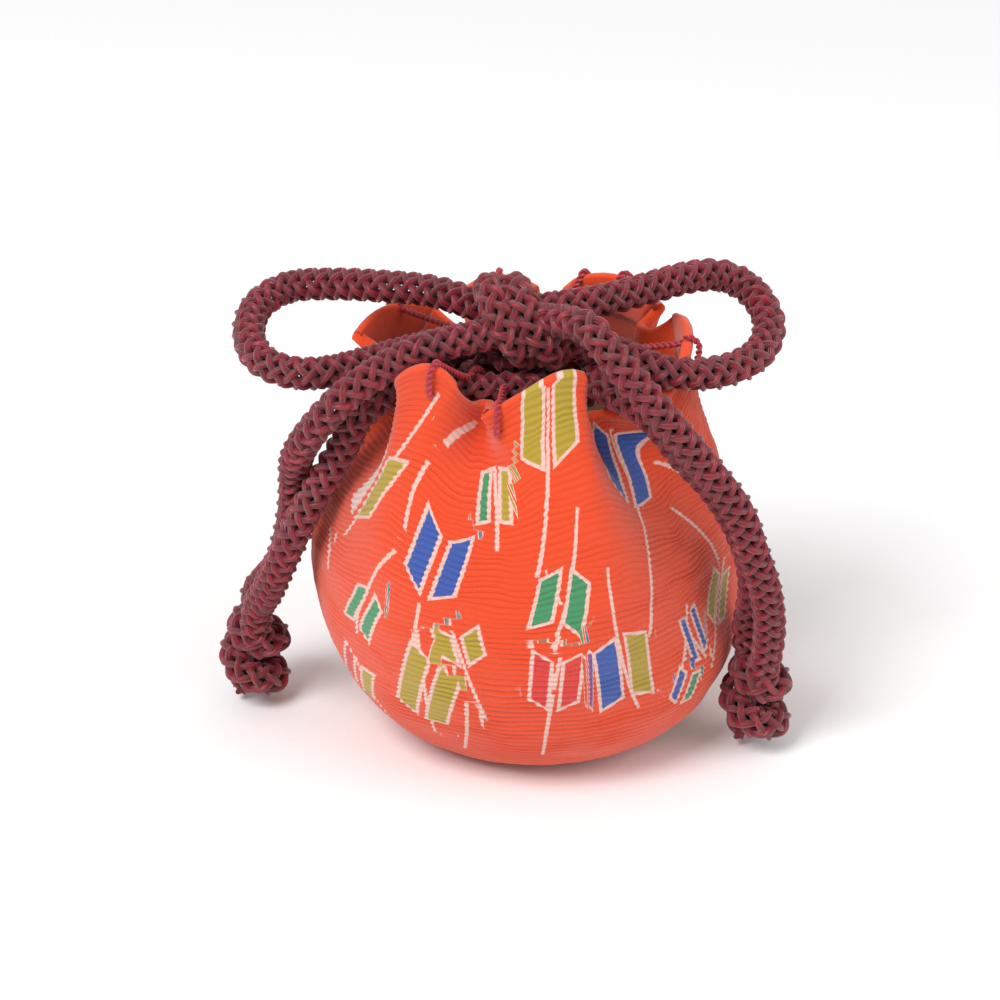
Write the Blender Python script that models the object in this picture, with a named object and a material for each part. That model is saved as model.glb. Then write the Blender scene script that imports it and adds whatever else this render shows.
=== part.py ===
"""A small scented sachet pouch: printed crepe gathered at the mouth, filled with a scent packet,
held shut by two braided drawcords that are tied in one bow. Metres, +Z up, the front faces -Y."""

import math
from dataclasses import dataclass

import bmesh
import bpy
from mathutils import Matrix, Vector

MM = 0.001
GAP = 0.3 * MM  # clearance between pieces that touch

# The pouch, as a filled bag: a flat base, a round belly and an oval mouth
BASE_RADIUS = 9.0 * MM
BELLY_RADIUS = 27.0 * MM
BELLY_HEIGHT = 21.5 * MM
MOUTH_HALF_WIDTH = 20.4 * MM
MOUTH_HALF_DEPTH = 15.6 * MM
MOUTH_HEIGHT = 52.5 * MM
LEAN = 1.5 * MM  # the filling has slumped: the base lies this far right and the mouth left
MOUTH_FLARE = 1.4 * MM  # how far the hem turns out again above the neck, at the sides
BELLY_ROUNDNESS = 0.85
SHOULDER_ROUNDNESS = 1.4

# The cloth
CLOTH_THICKNESS = 0.9 * MM
HEM_THICKNESS = 1.4 * MM
HEM_DEPTH = 4.0 * MM

# The mesh of the cloth
BELLY_ROWS = 6
SHOULDER_ROWS = 12
FLANK_STEPS = (0.2, 0.5, 0.8, 1.0)  # shares of a pleat's flank that get a column of points
CREST_COLUMNS = 4
PLEAT_SHARE = 0.42  # the most of the cloth between two pleats that one of them may take

# The braided drawcords
CORD_DIAMETER = 3.6 * MM
CORD_STEPS = {"drawcord": 5.6 * MM, "bow_loop": 5.0 * MM, "tail": 7.4 * MM}  # between points
TRIM_STEP = 0.1 * MM  # how exactly a cord's end is found
KNOT_GAP = 0.8 * MM  # between a cord's end and its knot, measured slantwise
ROUTE_STEPS = 8  # points of the smooth curve from one point of a route to the next

# The pulled-tight knots
KNOT_SEGMENTS = 20
KNOT_RINGS = 12
KNOT_STRANDS = 3
KNOT_TWIST = 2.6
KNOT_FURROW = 0.05
KNOT_FULLNESS = 2.6

# The thread tacks that tie the hem to the drawcords
THREAD_DIAMETER = 0.8 * MM
TACK_GAP = 0.45 * MM  # between the thread and what it runs over
TACK_DEPTH = 2.6 * MM  # how far down the outside of the hem a tack reaches
TACK_TURNS = {"over": (55, 97, 139, 180), "front": (30, -5, -40)}  # degrees round the cord
TACK_SLACK = 1.16  # the thread's straight stretches still clear the round cord
UPPER_TURN = 46.8 * MM  # the turn of cord that the tacks hold lies above this

# The scent packet inside
PACKET_HEIGHT = 40.0 * MM
PACKET_CLEARANCE = 0.9 * MM


@dataclass(frozen=True)
class Pleat:
    """One inward fold of the mouth, and the petal of cloth that follows it anticlockwise."""

    mouth_angle: float  # degrees from the front, towards the right
    body_angle: float  # where the fold runs out on the body
    depth: float  # at the hem
    fold_from: float  # height where the deep fold starts
    crease: float  # depth of the crease that goes on down the body
    crease_from: float  # height where that crease starts
    gape: float  # width of the fold's floor at the hem
    hem_height: float  # of the hem in the fold
    tip_height: float  # of the petal's tip
    tip_skew: float  # over 1 the tip leans towards the next pleat


PLEATS = (
    Pleat(
        mouth_angle=-19, body_angle=-13, depth=5.0 * MM, fold_from=38 * MM, crease=0.0,
        crease_from=30 * MM, gape=0.6 * MM, hem_height=47.4 * MM, tip_height=53.4 * MM, tip_skew=1.9,
    ),
    Pleat(
        mouth_angle=42, body_angle=57, depth=5.2 * MM, fold_from=36 * MM, crease=2.6 * MM,
        crease_from=8 * MM, gape=4.4 * MM, hem_height=44.8 * MM, tip_height=52.4 * MM, tip_skew=3.5,
    ),
    Pleat(
        mouth_angle=110, body_angle=108, depth=3.4 * MM, fold_from=37 * MM, crease=0.9 * MM,
        crease_from=26 * MM, gape=0.8 * MM, hem_height=50.0 * MM, tip_height=54.0 * MM, tip_skew=1.0,
    ),
    Pleat(
        mouth_angle=163, body_angle=160, depth=4.4 * MM, fold_from=39 * MM, crease=0.3 * MM,
        crease_from=32 * MM, gape=0.8 * MM, hem_height=49.4 * MM, tip_height=53.0 * MM, tip_skew=1.0,
    ),
    Pleat(
        mouth_angle=210, body_angle=208, depth=4.6 * MM, fold_from=38 * MM, crease=0.6 * MM,
        crease_from=30 * MM, gape=0.8 * MM, hem_height=48.0 * MM, tip_height=50.6 * MM, tip_skew=1.0,
    ),
    Pleat(
        mouth_angle=257, body_angle=255, depth=5.0 * MM, fold_from=36 * MM, crease=0.9 * MM,
        crease_from=26 * MM, gape=0.8 * MM, hem_height=46.6 * MM, tip_height=47.6 * MM, tip_skew=1.0,
    ),
    Pleat(
        mouth_angle=300, body_angle=284, depth=5.4 * MM, fold_from=34 * MM, crease=1.2 * MM,
        crease_from=26 * MM, gape=5.0 * MM, hem_height=45.6 * MM, tip_height=53.6 * MM, tip_skew=1.4,
    ),
)
TIP_FULLNESS = 0.6  # under 1 the petals are blunt
BEND_FROM = 1.3  # the level of the pouch above which the pleats turn towards their mouth angle
CREASE_RISE = 14.0 * MM  # height over which a crease reaches its depth
FLANK_AT_HEM = 1.3 * MM  # width of a pleat's side at the hem
FLANK_SPREAD = 0.62  # by how much the side widens for each unit further down

# The routes of the cords, in millimetres. Each drawcord rises from its end knot to its side of
# the mouth, goes once round inside the hem and ends under the bow. The free ends hang to the same knots.
ROUTES = {
    "left_drawcord": (
        (-34.4, 0.4, 9.0), (-33.5, -1.6, 15.4), (-32.2, -4.4, 18.6), (-30.6, -7.4, 23.2),
        (-28.8, -9.4, 28.0), (-26.6, -10.0, 33.0), (-24.2, -9.5, 37.2), (-22.0, -9.0, 41.0),
        (-19.8, -9.2, 45.7), (-15.8, -7.8, 47.8), (-12.2, -7.0, 48.6), (-8.4, -7.4, 48.4),
        (-4.4, -7.5, 48.1), (-0.4, -7.0, 48.1), (3.4, -5.5, 46.9), (5.8, -3.0, 45.0),
        (6.8, 0.6, 44.2), (5.4, 4.4, 44.2), (1.8, 6.7, 44.2), (-2.8, 6.9, 44.2), (-6.6, 5.2, 44.4),
        (-7.0, 2.2, 45.2), (-4.9, 0.2, 46.8), (-3.6, -1.2, 52.0),
    ),
    "right_drawcord": (
        (28.6, -8.4, 9.0), (27.6, -7.6, 15.0), (27.9, -8.6, 19.0), (28.0, -10.2, 23.5),
        (27.2, -11.4, 28.0), (25.4, -12.6, 33.0), (22.6, -13.8, 38.0), (18.8, -14.2, 42.6),
        (15.0, -13.4, 47.3), (11.4, -11.2, 48.8), (9.0, -8.2, 49.0), (8.6, -4.2, 48.7),
        (8.6, -0.2, 48.4), (7.4, 3.6, 48.3), (4.4, 6.4, 48.3), (0.0, 7.2, 48.3), (-4.6, 6.9, 48.3),
        (-8.6, 5.0, 48.3), (-10.9, 1.6, 47.8), (-10.6, -2.0, 45.8), (-8.0, -4.9, 44.5),
        (-4.4, -5.9, 44.1), (-1.5, -4.9, 44.1), (0.1, -3.2, 44.9), (0.4, -2.0, 46.8), (0.2, -2.4, 52.0),
    ),
    "left_bow_loop": (
        (-2.6, -2.6, 55.6), (-10.8, 2.5, 56.4), (-18.1, 5.4, 56.0), (-24.4, 8.3, 55.0),
        (-29.4, 9.6, 54.0), (-33.1, 7.0, 52.6), (-33.9, 1.9, 51.2), (-32.2, -2.9, 50.0),
        (-28.4, -5.8, 49.5), (-23.8, -6.6, 49.9), (-17.8, -4.9, 50.8), (-12.0, -3.9, 52.0),
        (-3.0, -3.6, 53.8),
    ),
    "right_bow_loop": (
        (1.0, -2.8, 56.4), (8.6, -0.8, 56.8), (13.4, 1.7, 57.0), (20.0, 6.2, 57.0), (24.4, 8.2, 56.2),
        (27.9, 6.6, 54.6), (29.5, 2.2, 52.6), (28.2, -2.4, 50.8), (24.6, -5.8, 50.1),
        (20.0, -8.0, 50.4), (15.5, -8.2, 51.2), (10.6, -6.4, 52.6), (1.0, -4.0, 54.2),
    ),
    "left_tail": (
        (-2.6, -6.0, 55.2), (-11.2, -9.5, 54.6), (-15.6, -10.4, 52.9), (-19.8, -12.0, 50.7),
        (-23.2, -12.4, 47.6), (-26.0, -11.2, 43.6), (-27.6, -8.6, 39.8), (-28.2, -5.9, 36.2),
        (-28.5, -4.4, 31.6), (-29.3, -3.3, 26.6), (-30.7, -1.5, 21.4), (-32.8, 2.2, 17.0),
        (-34.3, 4.1, 14.0), (-34.4, 3.2, 9.0),
    ),
    "right_tail": (
        (0.6, -4.6, 56.2), (6.8, -11.2, 58.0), (9.6, -14.6, 56.2), (13.4, -17.0, 52.4),
        (18.0, -18.2, 47.0), (22.2, -17.8, 41.5), (25.4, -17.0, 36.5), (27.2, -16.2, 31.0),
        (28.9, -14.8, 25.5), (29.8, -13.0, 20.0), (29.8, -11.6, 15.2), (29.0, -10.2, 9.0),
    ),
}
KNOTS = {
    # name: (centre, half sizes, turn in degrees), lengths in millimetres
    "bow_knot": ((-1.2, -3.6, 55.3), (5.0, 6.0, 5.6), 20),
    "left_end_knot": ((-34.3, 1.9, 6.7), (4.5, 4.5, 6.4), 0),
    "right_end_knot": ((28.9, -9.2, 6.9), (4.5, 4.5, 6.4), 70),
}
TACKS = (
    # (angle on the hem, cord that the thread holds, how it runs on the cord)
    (-33, "left_drawcord", "over"), (-7, "left_drawcord", "front"), (86, "right_drawcord", "over"),
    (132, "right_drawcord", "over"), (149, "right_drawcord", "over"), (187, "right_drawcord", "over"),
    (232, "right_drawcord", "over"),
)

MATERIALS = {
    "crepe": ((0.78, 0.09, 0.018, 1.0), 0.75),
    "cord": ((0.10, 0.004, 0.012, 1.0), 0.6),
    "thread": ((0.55, 0.008, 0.03, 1.0), 0.55),
    "packet": ((0.62, 0.5, 0.36, 1.0), 0.9),
}


def clear_scene():
    """Remove whatever the file holds."""
    for thing in list(bpy.data.objects):
        bpy.data.objects.remove(thing, do_unlink=True)


def material(name):
    """The named material, made once."""
    known = bpy.data.materials.get(name)
    if known:
        return known
    made = bpy.data.materials.new(name)
    made.use_nodes = True
    shader = made.node_tree.nodes["Principled BSDF"]
    colour, roughness = MATERIALS[name]
    shader.inputs["Base Color"].default_value = colour
    shader.inputs["Roughness"].default_value = roughness
    return made


def mesh_object(name, shape, material_name):
    """An object made from a bmesh, shaded smooth."""
    bmesh.ops.recalc_face_normals(shape, faces=shape.faces)
    mesh = bpy.data.meshes.new(name)
    shape.to_mesh(mesh)
    shape.free()
    mesh.shade_smooth()
    mesh.materials.append(material(material_name))
    made = bpy.data.objects.new(name, mesh)
    bpy.context.collection.objects.link(made)
    return made


def mix(first, second, share):
    """The value that lies the given share of the way from first to second."""
    return first + (second - first) * share


def ease(share):
    """A share from 0 to 1, eased at both ends."""
    share = min(max(share, 0.0), 1.0)
    return share * share * (3.0 - 2.0 * share)


def mouth_radius(angle):
    """Distance of the mouth's oval from its centre in the direction of an angle."""
    across = math.sin(angle) / MOUTH_HALF_WIDTH
    along = math.cos(angle) / MOUTH_HALF_DEPTH
    return 1.0 / math.hypot(across, along)


def height_share(row):
    """How high up the pouch a row lies: 0 at the base, 1 at the belly and 2 at the hem."""
    if row <= BELLY_ROWS:
        return row / BELLY_ROWS
    return 1.0 + (row - BELLY_ROWS) / SHOULDER_ROWS


def belly_radius(level):
    """Radius of the pouch below its widest line, for a level from 0 to 1."""
    return mix(BASE_RADIUS, BELLY_RADIUS, math.sin(level * math.pi / 2.0) ** BELLY_ROUNDNESS)


def shoulder_radius(angle, rise):
    """Radius of the pouch above its widest line, for a rise from 0 to 1."""
    share = max(math.cos(rise * math.pi / 2.0), 0.0) ** SHOULDER_ROUNDNESS
    flare = MOUTH_FLARE * rise**8 * abs(math.sin(angle))
    return mix(mouth_radius(angle), BELLY_RADIUS, share) + flare


def height_at(level, top):
    """Height of a level of the pouch, where the hem lies as high as top."""
    if level <= 1.0:
        return BELLY_HEIGHT * (1.0 - math.cos(level * math.pi / 2.0))
    return mix(BELLY_HEIGHT, top, level - 1.0)


def pleat_angle(pleat, level):
    """The angle of a pleat's floor at a level of the pouch, in radians."""
    share = min(max((level - BEND_FROM) / (2.0 - BEND_FROM), 0.0), 1.0) ** 2
    return math.radians(mix(pleat.body_angle, pleat.mouth_angle, share))


def pleat_width(pleat, level):
    """(half the floor's width, width of each side) of a pleat at a level of the pouch."""
    below_hem = (2.0 - level) * (MOUTH_HEIGHT - BELLY_HEIGHT)
    return pleat.gape / 2.0, FLANK_AT_HEM + FLANK_SPREAD * below_hem


def pleat_depth(pleat, height):
    """How far a pleat's floor lies inside the pouch's round form at a height."""
    crease = pleat.crease * ease((height - pleat.crease_from) / CREASE_RISE)
    fold = ease((height - pleat.fold_from) / (pleat.hem_height - pleat.fold_from))
    return mix(crease, pleat.depth, fold)


def columns(level):
    """(angle, pleat, next pleat, share between them) of each column of points at a level."""
    found = []
    count = len(PLEATS)
    for number, pleat in enumerate(PLEATS):
        following = PLEATS[(number + 1) % count]
        start = pleat_angle(pleat, level)
        width = (pleat_angle(following, level) - start) % math.tau
        radius = mix(BELLY_RADIUS, mouth_radius(start), ease(level - 1.0))
        ends = []
        for side in (pleat, following):
            floor, flank = pleat_width(side, level)
            reach = min((floor + flank) / radius, PLEAT_SHARE * width)
            floor = min(floor / radius, reach * 0.6)
            ends.append([floor] + [mix(floor, reach, step) for step in FLANK_STEPS])
        offsets = [0.0] + ends[0]
        inner, outer = ends[0][-1], width - ends[1][-1]
        for crest in range(1, CREST_COLUMNS + 1):
            offsets.append(mix(inner, outer, crest / (CREST_COLUMNS + 1)))
        offsets += [width - offset for offset in reversed(ends[1])]
        found += [(start + o, pleat, following, o / width, width) for o in offsets]
    return found


def pleat_pull(pleat, level, distance):
    """The share of a pleat's depth that is left at a distance from its floor's middle line."""
    floor, flank = pleat_width(pleat, level)
    beyond = min(max((distance - floor) / flank, 0.0), 1.0)
    return 0.5 * (1.0 + math.cos(math.pi * beyond))


def hem_height(pleat, following, share, pull):
    """Height of the hem between two pleats: low in the folds and high at the petal's tip."""
    low = mix(pleat.hem_height, following.hem_height, share)
    lift = math.sin(math.pi * share**pleat.tip_skew) ** TIP_FULLNESS
    return mix(low, pleat.tip_height, lift * (1.0 - pull))


def cloth_point(row, column, inset=0.0):
    """A point of the cloth's outer face, or of a form that lies inset inside it."""
    level = height_share(row)
    angle, pleat, following, share, width = column
    radius = belly_radius(level) if level <= 1.0 else shoulder_radius(angle, level - 1.0)
    near = pleat_pull(pleat, level, radius * share * width)
    far = pleat_pull(following, level, radius * (1.0 - share) * width)
    top = hem_height(pleat, following, share, max(near, far))
    height = height_at(level, top)
    pull = pleat_depth(pleat, height) * near + pleat_depth(following, height) * far
    tilt = max(1.0 - level, 0.0) * math.pi / 2.0
    radius -= pull + inset * math.cos(tilt)
    height += inset * math.sin(tilt)
    lean = LEAN * math.cos(math.pi * height / MOUTH_HEIGHT)
    return Vector((radius * math.sin(angle) + lean, -radius * math.cos(angle), height))


def join_rows(shape, rows):
    """Faces between rings of points, each ring with the same number of them."""
    for lower, upper in zip(rows, rows[1:]):
        count = len(lower)
        for here in range(count):
            there = (here + 1) % count
            shape.faces.new((lower[here], lower[there], upper[there], upper[here]))


def pouch_cloth():
    """The cloth: one gathered shell with a thicker hem, open at the mouth."""
    shape = bmesh.new()
    rows = []
    for row in range(BELLY_ROWS + SHOULDER_ROWS + 1):
        places = [cloth_point(row, column) for column in columns(height_share(row))]
        rows.append([shape.verts.new(place) for place in places])
    join_rows(shape, rows)
    shape.faces.new(list(reversed(rows[0])))
    row_step = (MOUTH_HEIGHT - BELLY_HEIGHT) / SHOULDER_ROWS
    hem_rows = max(1, round(HEM_DEPTH / row_step))
    first_hem = len(rows[0]) * (len(rows) - hem_rows)
    total = len(shape.verts)
    cloth = mesh_object("pouch_cloth", shape, "crepe")
    hem = cloth.vertex_groups.new(name="hem")
    hem.add(list(range(first_hem, total)), 1.0, "REPLACE")
    wall = cloth.modifiers.new("wall", "SOLIDIFY")
    wall.thickness = HEM_THICKNESS
    wall.offset = -1.0
    wall.vertex_group = hem.name
    wall.thickness_vertex_group = CLOTH_THICKNESS / HEM_THICKNESS
    return cloth


def scent_packet():
    """The filling: a soft closed packet that fills the body of the pouch."""
    shape = bmesh.new()
    rows = []
    inset = CLOTH_THICKNESS + PACKET_CLEARANCE
    last = BELLY_ROWS + round(SHOULDER_ROWS * 0.6)
    for row in range(0, last, 2):
        ring = columns(height_share(row))[::2]
        rows.append([shape.verts.new(cloth_point(row, column, inset)) for column in ring])
    join_rows(shape, rows)
    bottom = shape.verts.new((0.0, 0.0, inset))
    top = shape.verts.new((0.0, 0.0, PACKET_HEIGHT))
    count = len(rows[0])
    for here in range(count):
        there = (here + 1) % count
        shape.faces.new((rows[0][there], rows[0][here], bottom))
        shape.faces.new((rows[-1][here], rows[-1][there], top))
    return mesh_object("scent_packet", shape, "packet")


def smooth_route(points):
    """Many points on one smooth curve through the route's points (a Catmull-Rom spline)."""
    line = [Vector(point) * MM for point in points]
    ends = [line[0] * 2.0 - line[1], *line, line[-1] * 2.0 - line[-2]]
    fine = []
    for before, start, end, after in zip(ends, ends[1:], ends[2:], ends[3:]):
        for step in range(ROUTE_STEPS):
            t = step / ROUTE_STEPS
            bend = before * 2.0 - start * 5.0 + end * 4.0 - after
            twist = -before + start * 3.0 - end * 3.0 + after
            fine.append(start + (end - before) * (t / 2.0) + bend * (t * t / 2.0) + twist * (t**3 / 2.0))
    return [*fine, line[-1]]


def spaced(line, step):
    """The line again, with points evenly about a step apart."""
    along = [0.0]
    for start, end in zip(line, line[1:]):
        along.append(along[-1] + (end - start).length)
    count = max(2, round(along[-1] / step))
    placed = []
    here = 0
    for number in range(count + 1):
        wanted = along[-1] * number / count
        while here < len(line) - 2 and along[here + 1] < wanted:
            here += 1
        share = (wanted - along[here]) / (along[here + 1] - along[here])
        placed.append(line[here].lerp(line[here + 1], min(share, 1.0)))
    return placed


def tube(name, line, diameter, material_name, sides=2):
    """A round tube along a line of points, closed at both ends."""
    curve = bpy.data.curves.new(name, "CURVE")
    curve.dimensions = "3D"
    curve.bevel_depth = diameter / 2.0
    curve.bevel_resolution = sides
    curve.use_fill_caps = True
    spline = curve.splines.new("POLY")
    spline.points.add(len(line) - 1)
    for point, place in zip(spline.points, line):
        point.co = (*place, 1.0)
    curve.materials.append(material(material_name))
    made = bpy.data.objects.new(name, curve)
    bpy.context.collection.objects.link(made)
    return made


def knot_size(way, turn):
    """Size of a knot in a direction, over its half sizes: a full ball with winding furrows."""
    around = math.atan2(way.y, way.x) + math.radians(turn)
    flat = math.hypot(way.x, way.y)
    furrow = math.cos(KNOT_STRANDS * around + KNOT_TWIST * way.z)
    fuller = (flat**KNOT_FULLNESS + abs(way.z) ** KNOT_FULLNESS) ** (-1.0 / KNOT_FULLNESS)
    return fuller * (1.0 - KNOT_FURROW * flat * (1.0 - furrow))


def knot(name):
    """A pulled-tight knot, as one lumpy ball."""
    centre, half, turn = KNOTS[name]
    shape = bmesh.new()
    bmesh.ops.create_uvsphere(shape, u_segments=KNOT_SEGMENTS, v_segments=KNOT_RINGS, radius=1.0)
    for vertex in shape.verts:
        size = knot_size(vertex.co, turn)
        vertex.co = [MM * (c + size * h * d) for c, h, d in zip(centre, half, vertex.co)]
    return mesh_object(name, shape, "cord")


def outside_knots(place, along):
    """Whether a cord's flat end at a place, facing along a direction, stands clear of each knot."""
    across = along.orthogonal().normalized() * CORD_DIAMETER / 2.0
    rim = [place + Matrix.Rotation(math.tau * n / 8, 3, along) @ across for n in range(8)]
    for centre, half, turn in KNOTS.values():
        for point in [place, *rim]:
            local = Vector([(p / MM - c) / h for p, c, h in zip(point, centre, half)])
            if (local.length - knot_size(local.normalized(), turn)) * min(half) * MM < KNOT_GAP:
                return False
    return True


def trimmed(line):
    """A route's line without the parts that lie in the knots at its ends."""
    first, last = 0, len(line) - 1
    while not outside_knots(line[first], (line[first + 1] - line[first]).normalized()):
        first += 1
    while not outside_knots(line[last], (line[last] - line[last - 1]).normalized()):
        last -= 1
    return line[first : last + 1]


def cord_line(name, step):
    """The points of a cord's line from knot to knot, about a step apart."""
    fine = spaced(smooth_route(ROUTES[name]), TRIM_STEP)
    return spaced(trimmed(fine), step)


def cords():
    """The free cord between the knots, one tube for each route."""
    for name in ROUTES:
        tube(name, cord_line(name, CORD_STEPS[name.split("_", 1)[1]]), CORD_DIAMETER, "cord")


def hem_place(angle, below):
    """A point on the outside of the hem, at an angle and so far below its edge."""
    last = BELLY_ROWS + SHOULDER_ROWS
    for number, pleat in enumerate(PLEATS):
        following = PLEATS[(number + 1) % len(PLEATS)]
        start = math.radians(pleat.mouth_angle)
        width = (math.radians(following.mouth_angle) - start) % math.tau
        share = ((angle - start) % math.tau) / width
        if share <= 1.0:
            row = last - below * SHOULDER_ROWS / (MOUTH_HEIGHT - BELLY_HEIGHT)
            return cloth_point(row, (angle, pleat, following, share, width))
    return None


def cord_place(name, angle):
    """The point of a cord's line inside the mouth, above the lower turn, at an angle."""
    line = cord_line(name, THREAD_DIAMETER)
    inside = [p for p in line if p.z > UPPER_TURN and math.hypot(p.x + LEAN, p.y) < MOUTH_HALF_DEPTH]
    return min(inside, key=lambda p: abs(math.remainder(math.atan2(p.x + LEAN, -p.y) - angle, math.tau)))


def thread_tack(number, degrees, cord, run):
    """A doubled thread: up the outside of the hem, over its edge and round the cord inside it."""
    angle = math.radians(degrees)
    out = Vector((math.sin(angle), -math.cos(angle), 0.0))
    up = Vector((0.0, 0.0, 1.0))
    off = TACK_GAP + THREAD_DIAMETER / 2.0
    edge = hem_place(angle, 0.0)
    held = cord_place(cord, angle)
    beside = (CORD_DIAMETER / 2.0 + off) * TACK_SLACK
    line = [
        hem_place(angle, TACK_DEPTH) + out * off,
        edge + out * off,
        edge - out * (HEM_THICKNESS / 2.0) + up * (off + TACK_GAP),
        edge - out * (HEM_THICKNESS + off),
    ]
    for turn in TACK_TURNS[run]:
        slant = math.radians(turn)
        line.append(held + (out * math.cos(slant) + up * math.sin(slant)) * beside)
    tube(f"thread_tack_{number}", line, THREAD_DIAMETER, "thread", sides=1)


def main():
    """Build every piece."""
    clear_scene()
    pouch_cloth()
    scent_packet()
    cords()
    for name in KNOTS:
        knot(name)
    for number, tack in enumerate(TACKS, start=1):
        thread_tack(number, *tack)


main()
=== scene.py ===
"""Dresses the scented sachet pouch: printed crepe, braided drawcords, pulled knots and sewn thread.

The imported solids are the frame, in metres, +Z up, with the front facing -Y. Every piece made here
replaces a solid of the same place and size.
"""

import logging
import math
from dataclasses import dataclass
from enum import Enum
from typing import Any, Optional, Sequence

import bpy
import numpy as np
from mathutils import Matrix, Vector


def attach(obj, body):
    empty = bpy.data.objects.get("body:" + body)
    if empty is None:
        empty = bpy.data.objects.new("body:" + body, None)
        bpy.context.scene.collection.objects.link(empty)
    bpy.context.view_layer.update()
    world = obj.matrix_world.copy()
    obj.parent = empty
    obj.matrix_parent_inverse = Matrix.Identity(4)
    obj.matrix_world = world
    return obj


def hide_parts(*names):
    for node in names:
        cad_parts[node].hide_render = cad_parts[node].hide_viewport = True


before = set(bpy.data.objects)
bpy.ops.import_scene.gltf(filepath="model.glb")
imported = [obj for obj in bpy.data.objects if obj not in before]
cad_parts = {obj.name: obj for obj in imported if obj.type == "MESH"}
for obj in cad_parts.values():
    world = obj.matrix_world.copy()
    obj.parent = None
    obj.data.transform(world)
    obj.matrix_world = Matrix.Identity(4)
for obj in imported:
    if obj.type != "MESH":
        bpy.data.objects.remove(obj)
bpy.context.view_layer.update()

LOG = logging.getLogger("pouch")
MM = 0.001
ROOT = "root"

Point = tuple[float, float, float]
Colour = tuple[float, float, float]


# Colours


def linear(red: int, green: int, blue: int) -> Colour:
    """A colour as the eye names it, turned into scene-linear values.

    Args:
        red: Red, from 0 to 255.
        green: Green, from 0 to 255.
        blue: Blue, from 0 to 255.

    Returns:
        The three linear channels.
    """
    return tuple((c / 255.0) ** 2.2 for c in (red, green, blue))


class Dye(Enum):
    """The dyes of the print, and one colour of painted shade for the crepe's valleys."""

    GROUND = linear(236, 78, 30)
    # Painted shade: the darker red-orange of the crepe's valleys in shade, not a dye; nothing reads it.
    VALLEY_SHADE = linear(196, 44, 16)
    OUTLINE = linear(240, 214, 204)
    WHITE = linear(236, 216, 208)
    BLUE = linear(26, 84, 178)
    GREEN = linear(48, 150, 98)
    OLIVE = linear(178, 160, 28)
    RED = linear(222, 46, 40)


# Node trees


class Tree:
    """A node tree with short calls for adding nodes and links."""

    def __init__(self, tree: bpy.types.NodeTree) -> None:
        """Wrap a node tree.

        Args:
            tree: The tree that the calls add to.
        """
        self.tree = tree

    def add(self, kind: str, **settings: Any) -> bpy.types.Node:
        """Add a node.

        Args:
            kind: The node's type name.
            **settings: Properties to set on the node.

        Returns:
            The new node.
        """
        node = self.tree.nodes.new(kind)
        for name, value in settings.items():
            setattr(node, name, value)
        return node

    def put(self, value: Any, socket: bpy.types.NodeSocket) -> None:
        """Give a socket its value: a link from another socket, or a constant.

        Args:
            value: The socket or constant to feed in.
            socket: The input that takes it.
        """
        if isinstance(value, bpy.types.NodeSocket):
            self.tree.links.new(value, socket)
        else:
            socket.default_value = value

    def math(self, operation: str, *values: Any) -> bpy.types.NodeSocket:
        """Add a Math node.

        Args:
            operation: The node's operation.
            *values: Its inputs, in order.

        Returns:
            The node's result.
        """
        node = self.add("ShaderNodeMath", operation=operation)
        for value, socket in zip(values, node.inputs):
            self.put(value, socket)
        return node.outputs[0]

    def vector(self, operation: str, *values: Any) -> bpy.types.NodeSocket:
        """Add a Vector Math node with a vector result.

        Args:
            operation: The node's operation.
            *values: Its inputs, in order; a lone number for SCALE goes into its scale.

        Returns:
            The node's result.
        """
        node = self.add("ShaderNodeVectorMath", operation=operation)
        if operation == "SCALE":
            self.put(values[0], node.inputs[0])
            self.put(values[1], node.inputs["Scale"])
        else:
            for value, socket in zip(values, node.inputs):
                self.put(value, socket)
        return node.outputs[0]

    def split(self, value: bpy.types.NodeSocket) -> list[bpy.types.NodeSocket]:
        """Separate a vector.

        Args:
            value: The vector.

        Returns:
            Its three parts.
        """
        node = self.add("ShaderNodeSeparateXYZ")
        self.put(value, node.inputs[0])
        return list(node.outputs)

    def step(self, value: Any, start: float, end: float) -> bpy.types.NodeSocket:
        """Add a smooth step from 0 at start to 1 at end.

        Args:
            value: What is compared.
            start: Where the result leaves 0.
            end: Where it reaches 1.

        Returns:
            The share from 0 to 1.
        """
        node = self.add("ShaderNodeMapRange", interpolation_type="SMOOTHSTEP")
        for part, name in ((value, 0), (start, 1), (end, 2)):
            self.put(part, node.inputs[name])
        return node.outputs[0]

    def mix(self, share: Any, first: Any, second: Any) -> bpy.types.NodeSocket:
        """Mix two colours.

        Args:
            share: The share of the second.
            first: The first colour.
            second: The second colour.

        Returns:
            The mixed colour.
        """
        node = self.add("ShaderNodeMix", data_type="RGBA")
        for part, name in ((share, 0), (first, 6), (second, 7)):
            self.put((*part, 1.0) if isinstance(part, tuple) else part, node.inputs[name])
        return node.outputs[2]

    def named(self, name: str, output: str = "Vector") -> bpy.types.NodeSocket:
        """Read an attribute of the mesh.

        Args:
            name: The attribute's name.
            output: Which of the node's outputs to take.

        Returns:
            The attribute's value.
        """
        return self.add("ShaderNodeAttribute", attribute_name=name).outputs[output]


def shared_group(name: str, inputs: Sequence[tuple], outputs: Sequence[tuple]) -> tuple:
    """Start a shader group that several materials can use.

    Args:
        name: The group's name.
        inputs: (name, socket type) of each input.
        outputs: (name, socket type) of each output.

    Returns:
        The tree, its inputs by name and its output node.
    """
    group = bpy.data.node_groups.new(name, "ShaderNodeTree")
    for label, kind in inputs:
        group.interface.new_socket(label, in_out="INPUT", socket_type=kind)
    for label, kind in outputs:
        group.interface.new_socket(label, in_out="OUTPUT", socket_type=kind)
    tree = Tree(group)
    entry = tree.add("NodeGroupInput")
    leave = tree.add("NodeGroupOutput")
    return tree, {socket.name: socket for socket in entry.outputs}, leave


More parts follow.
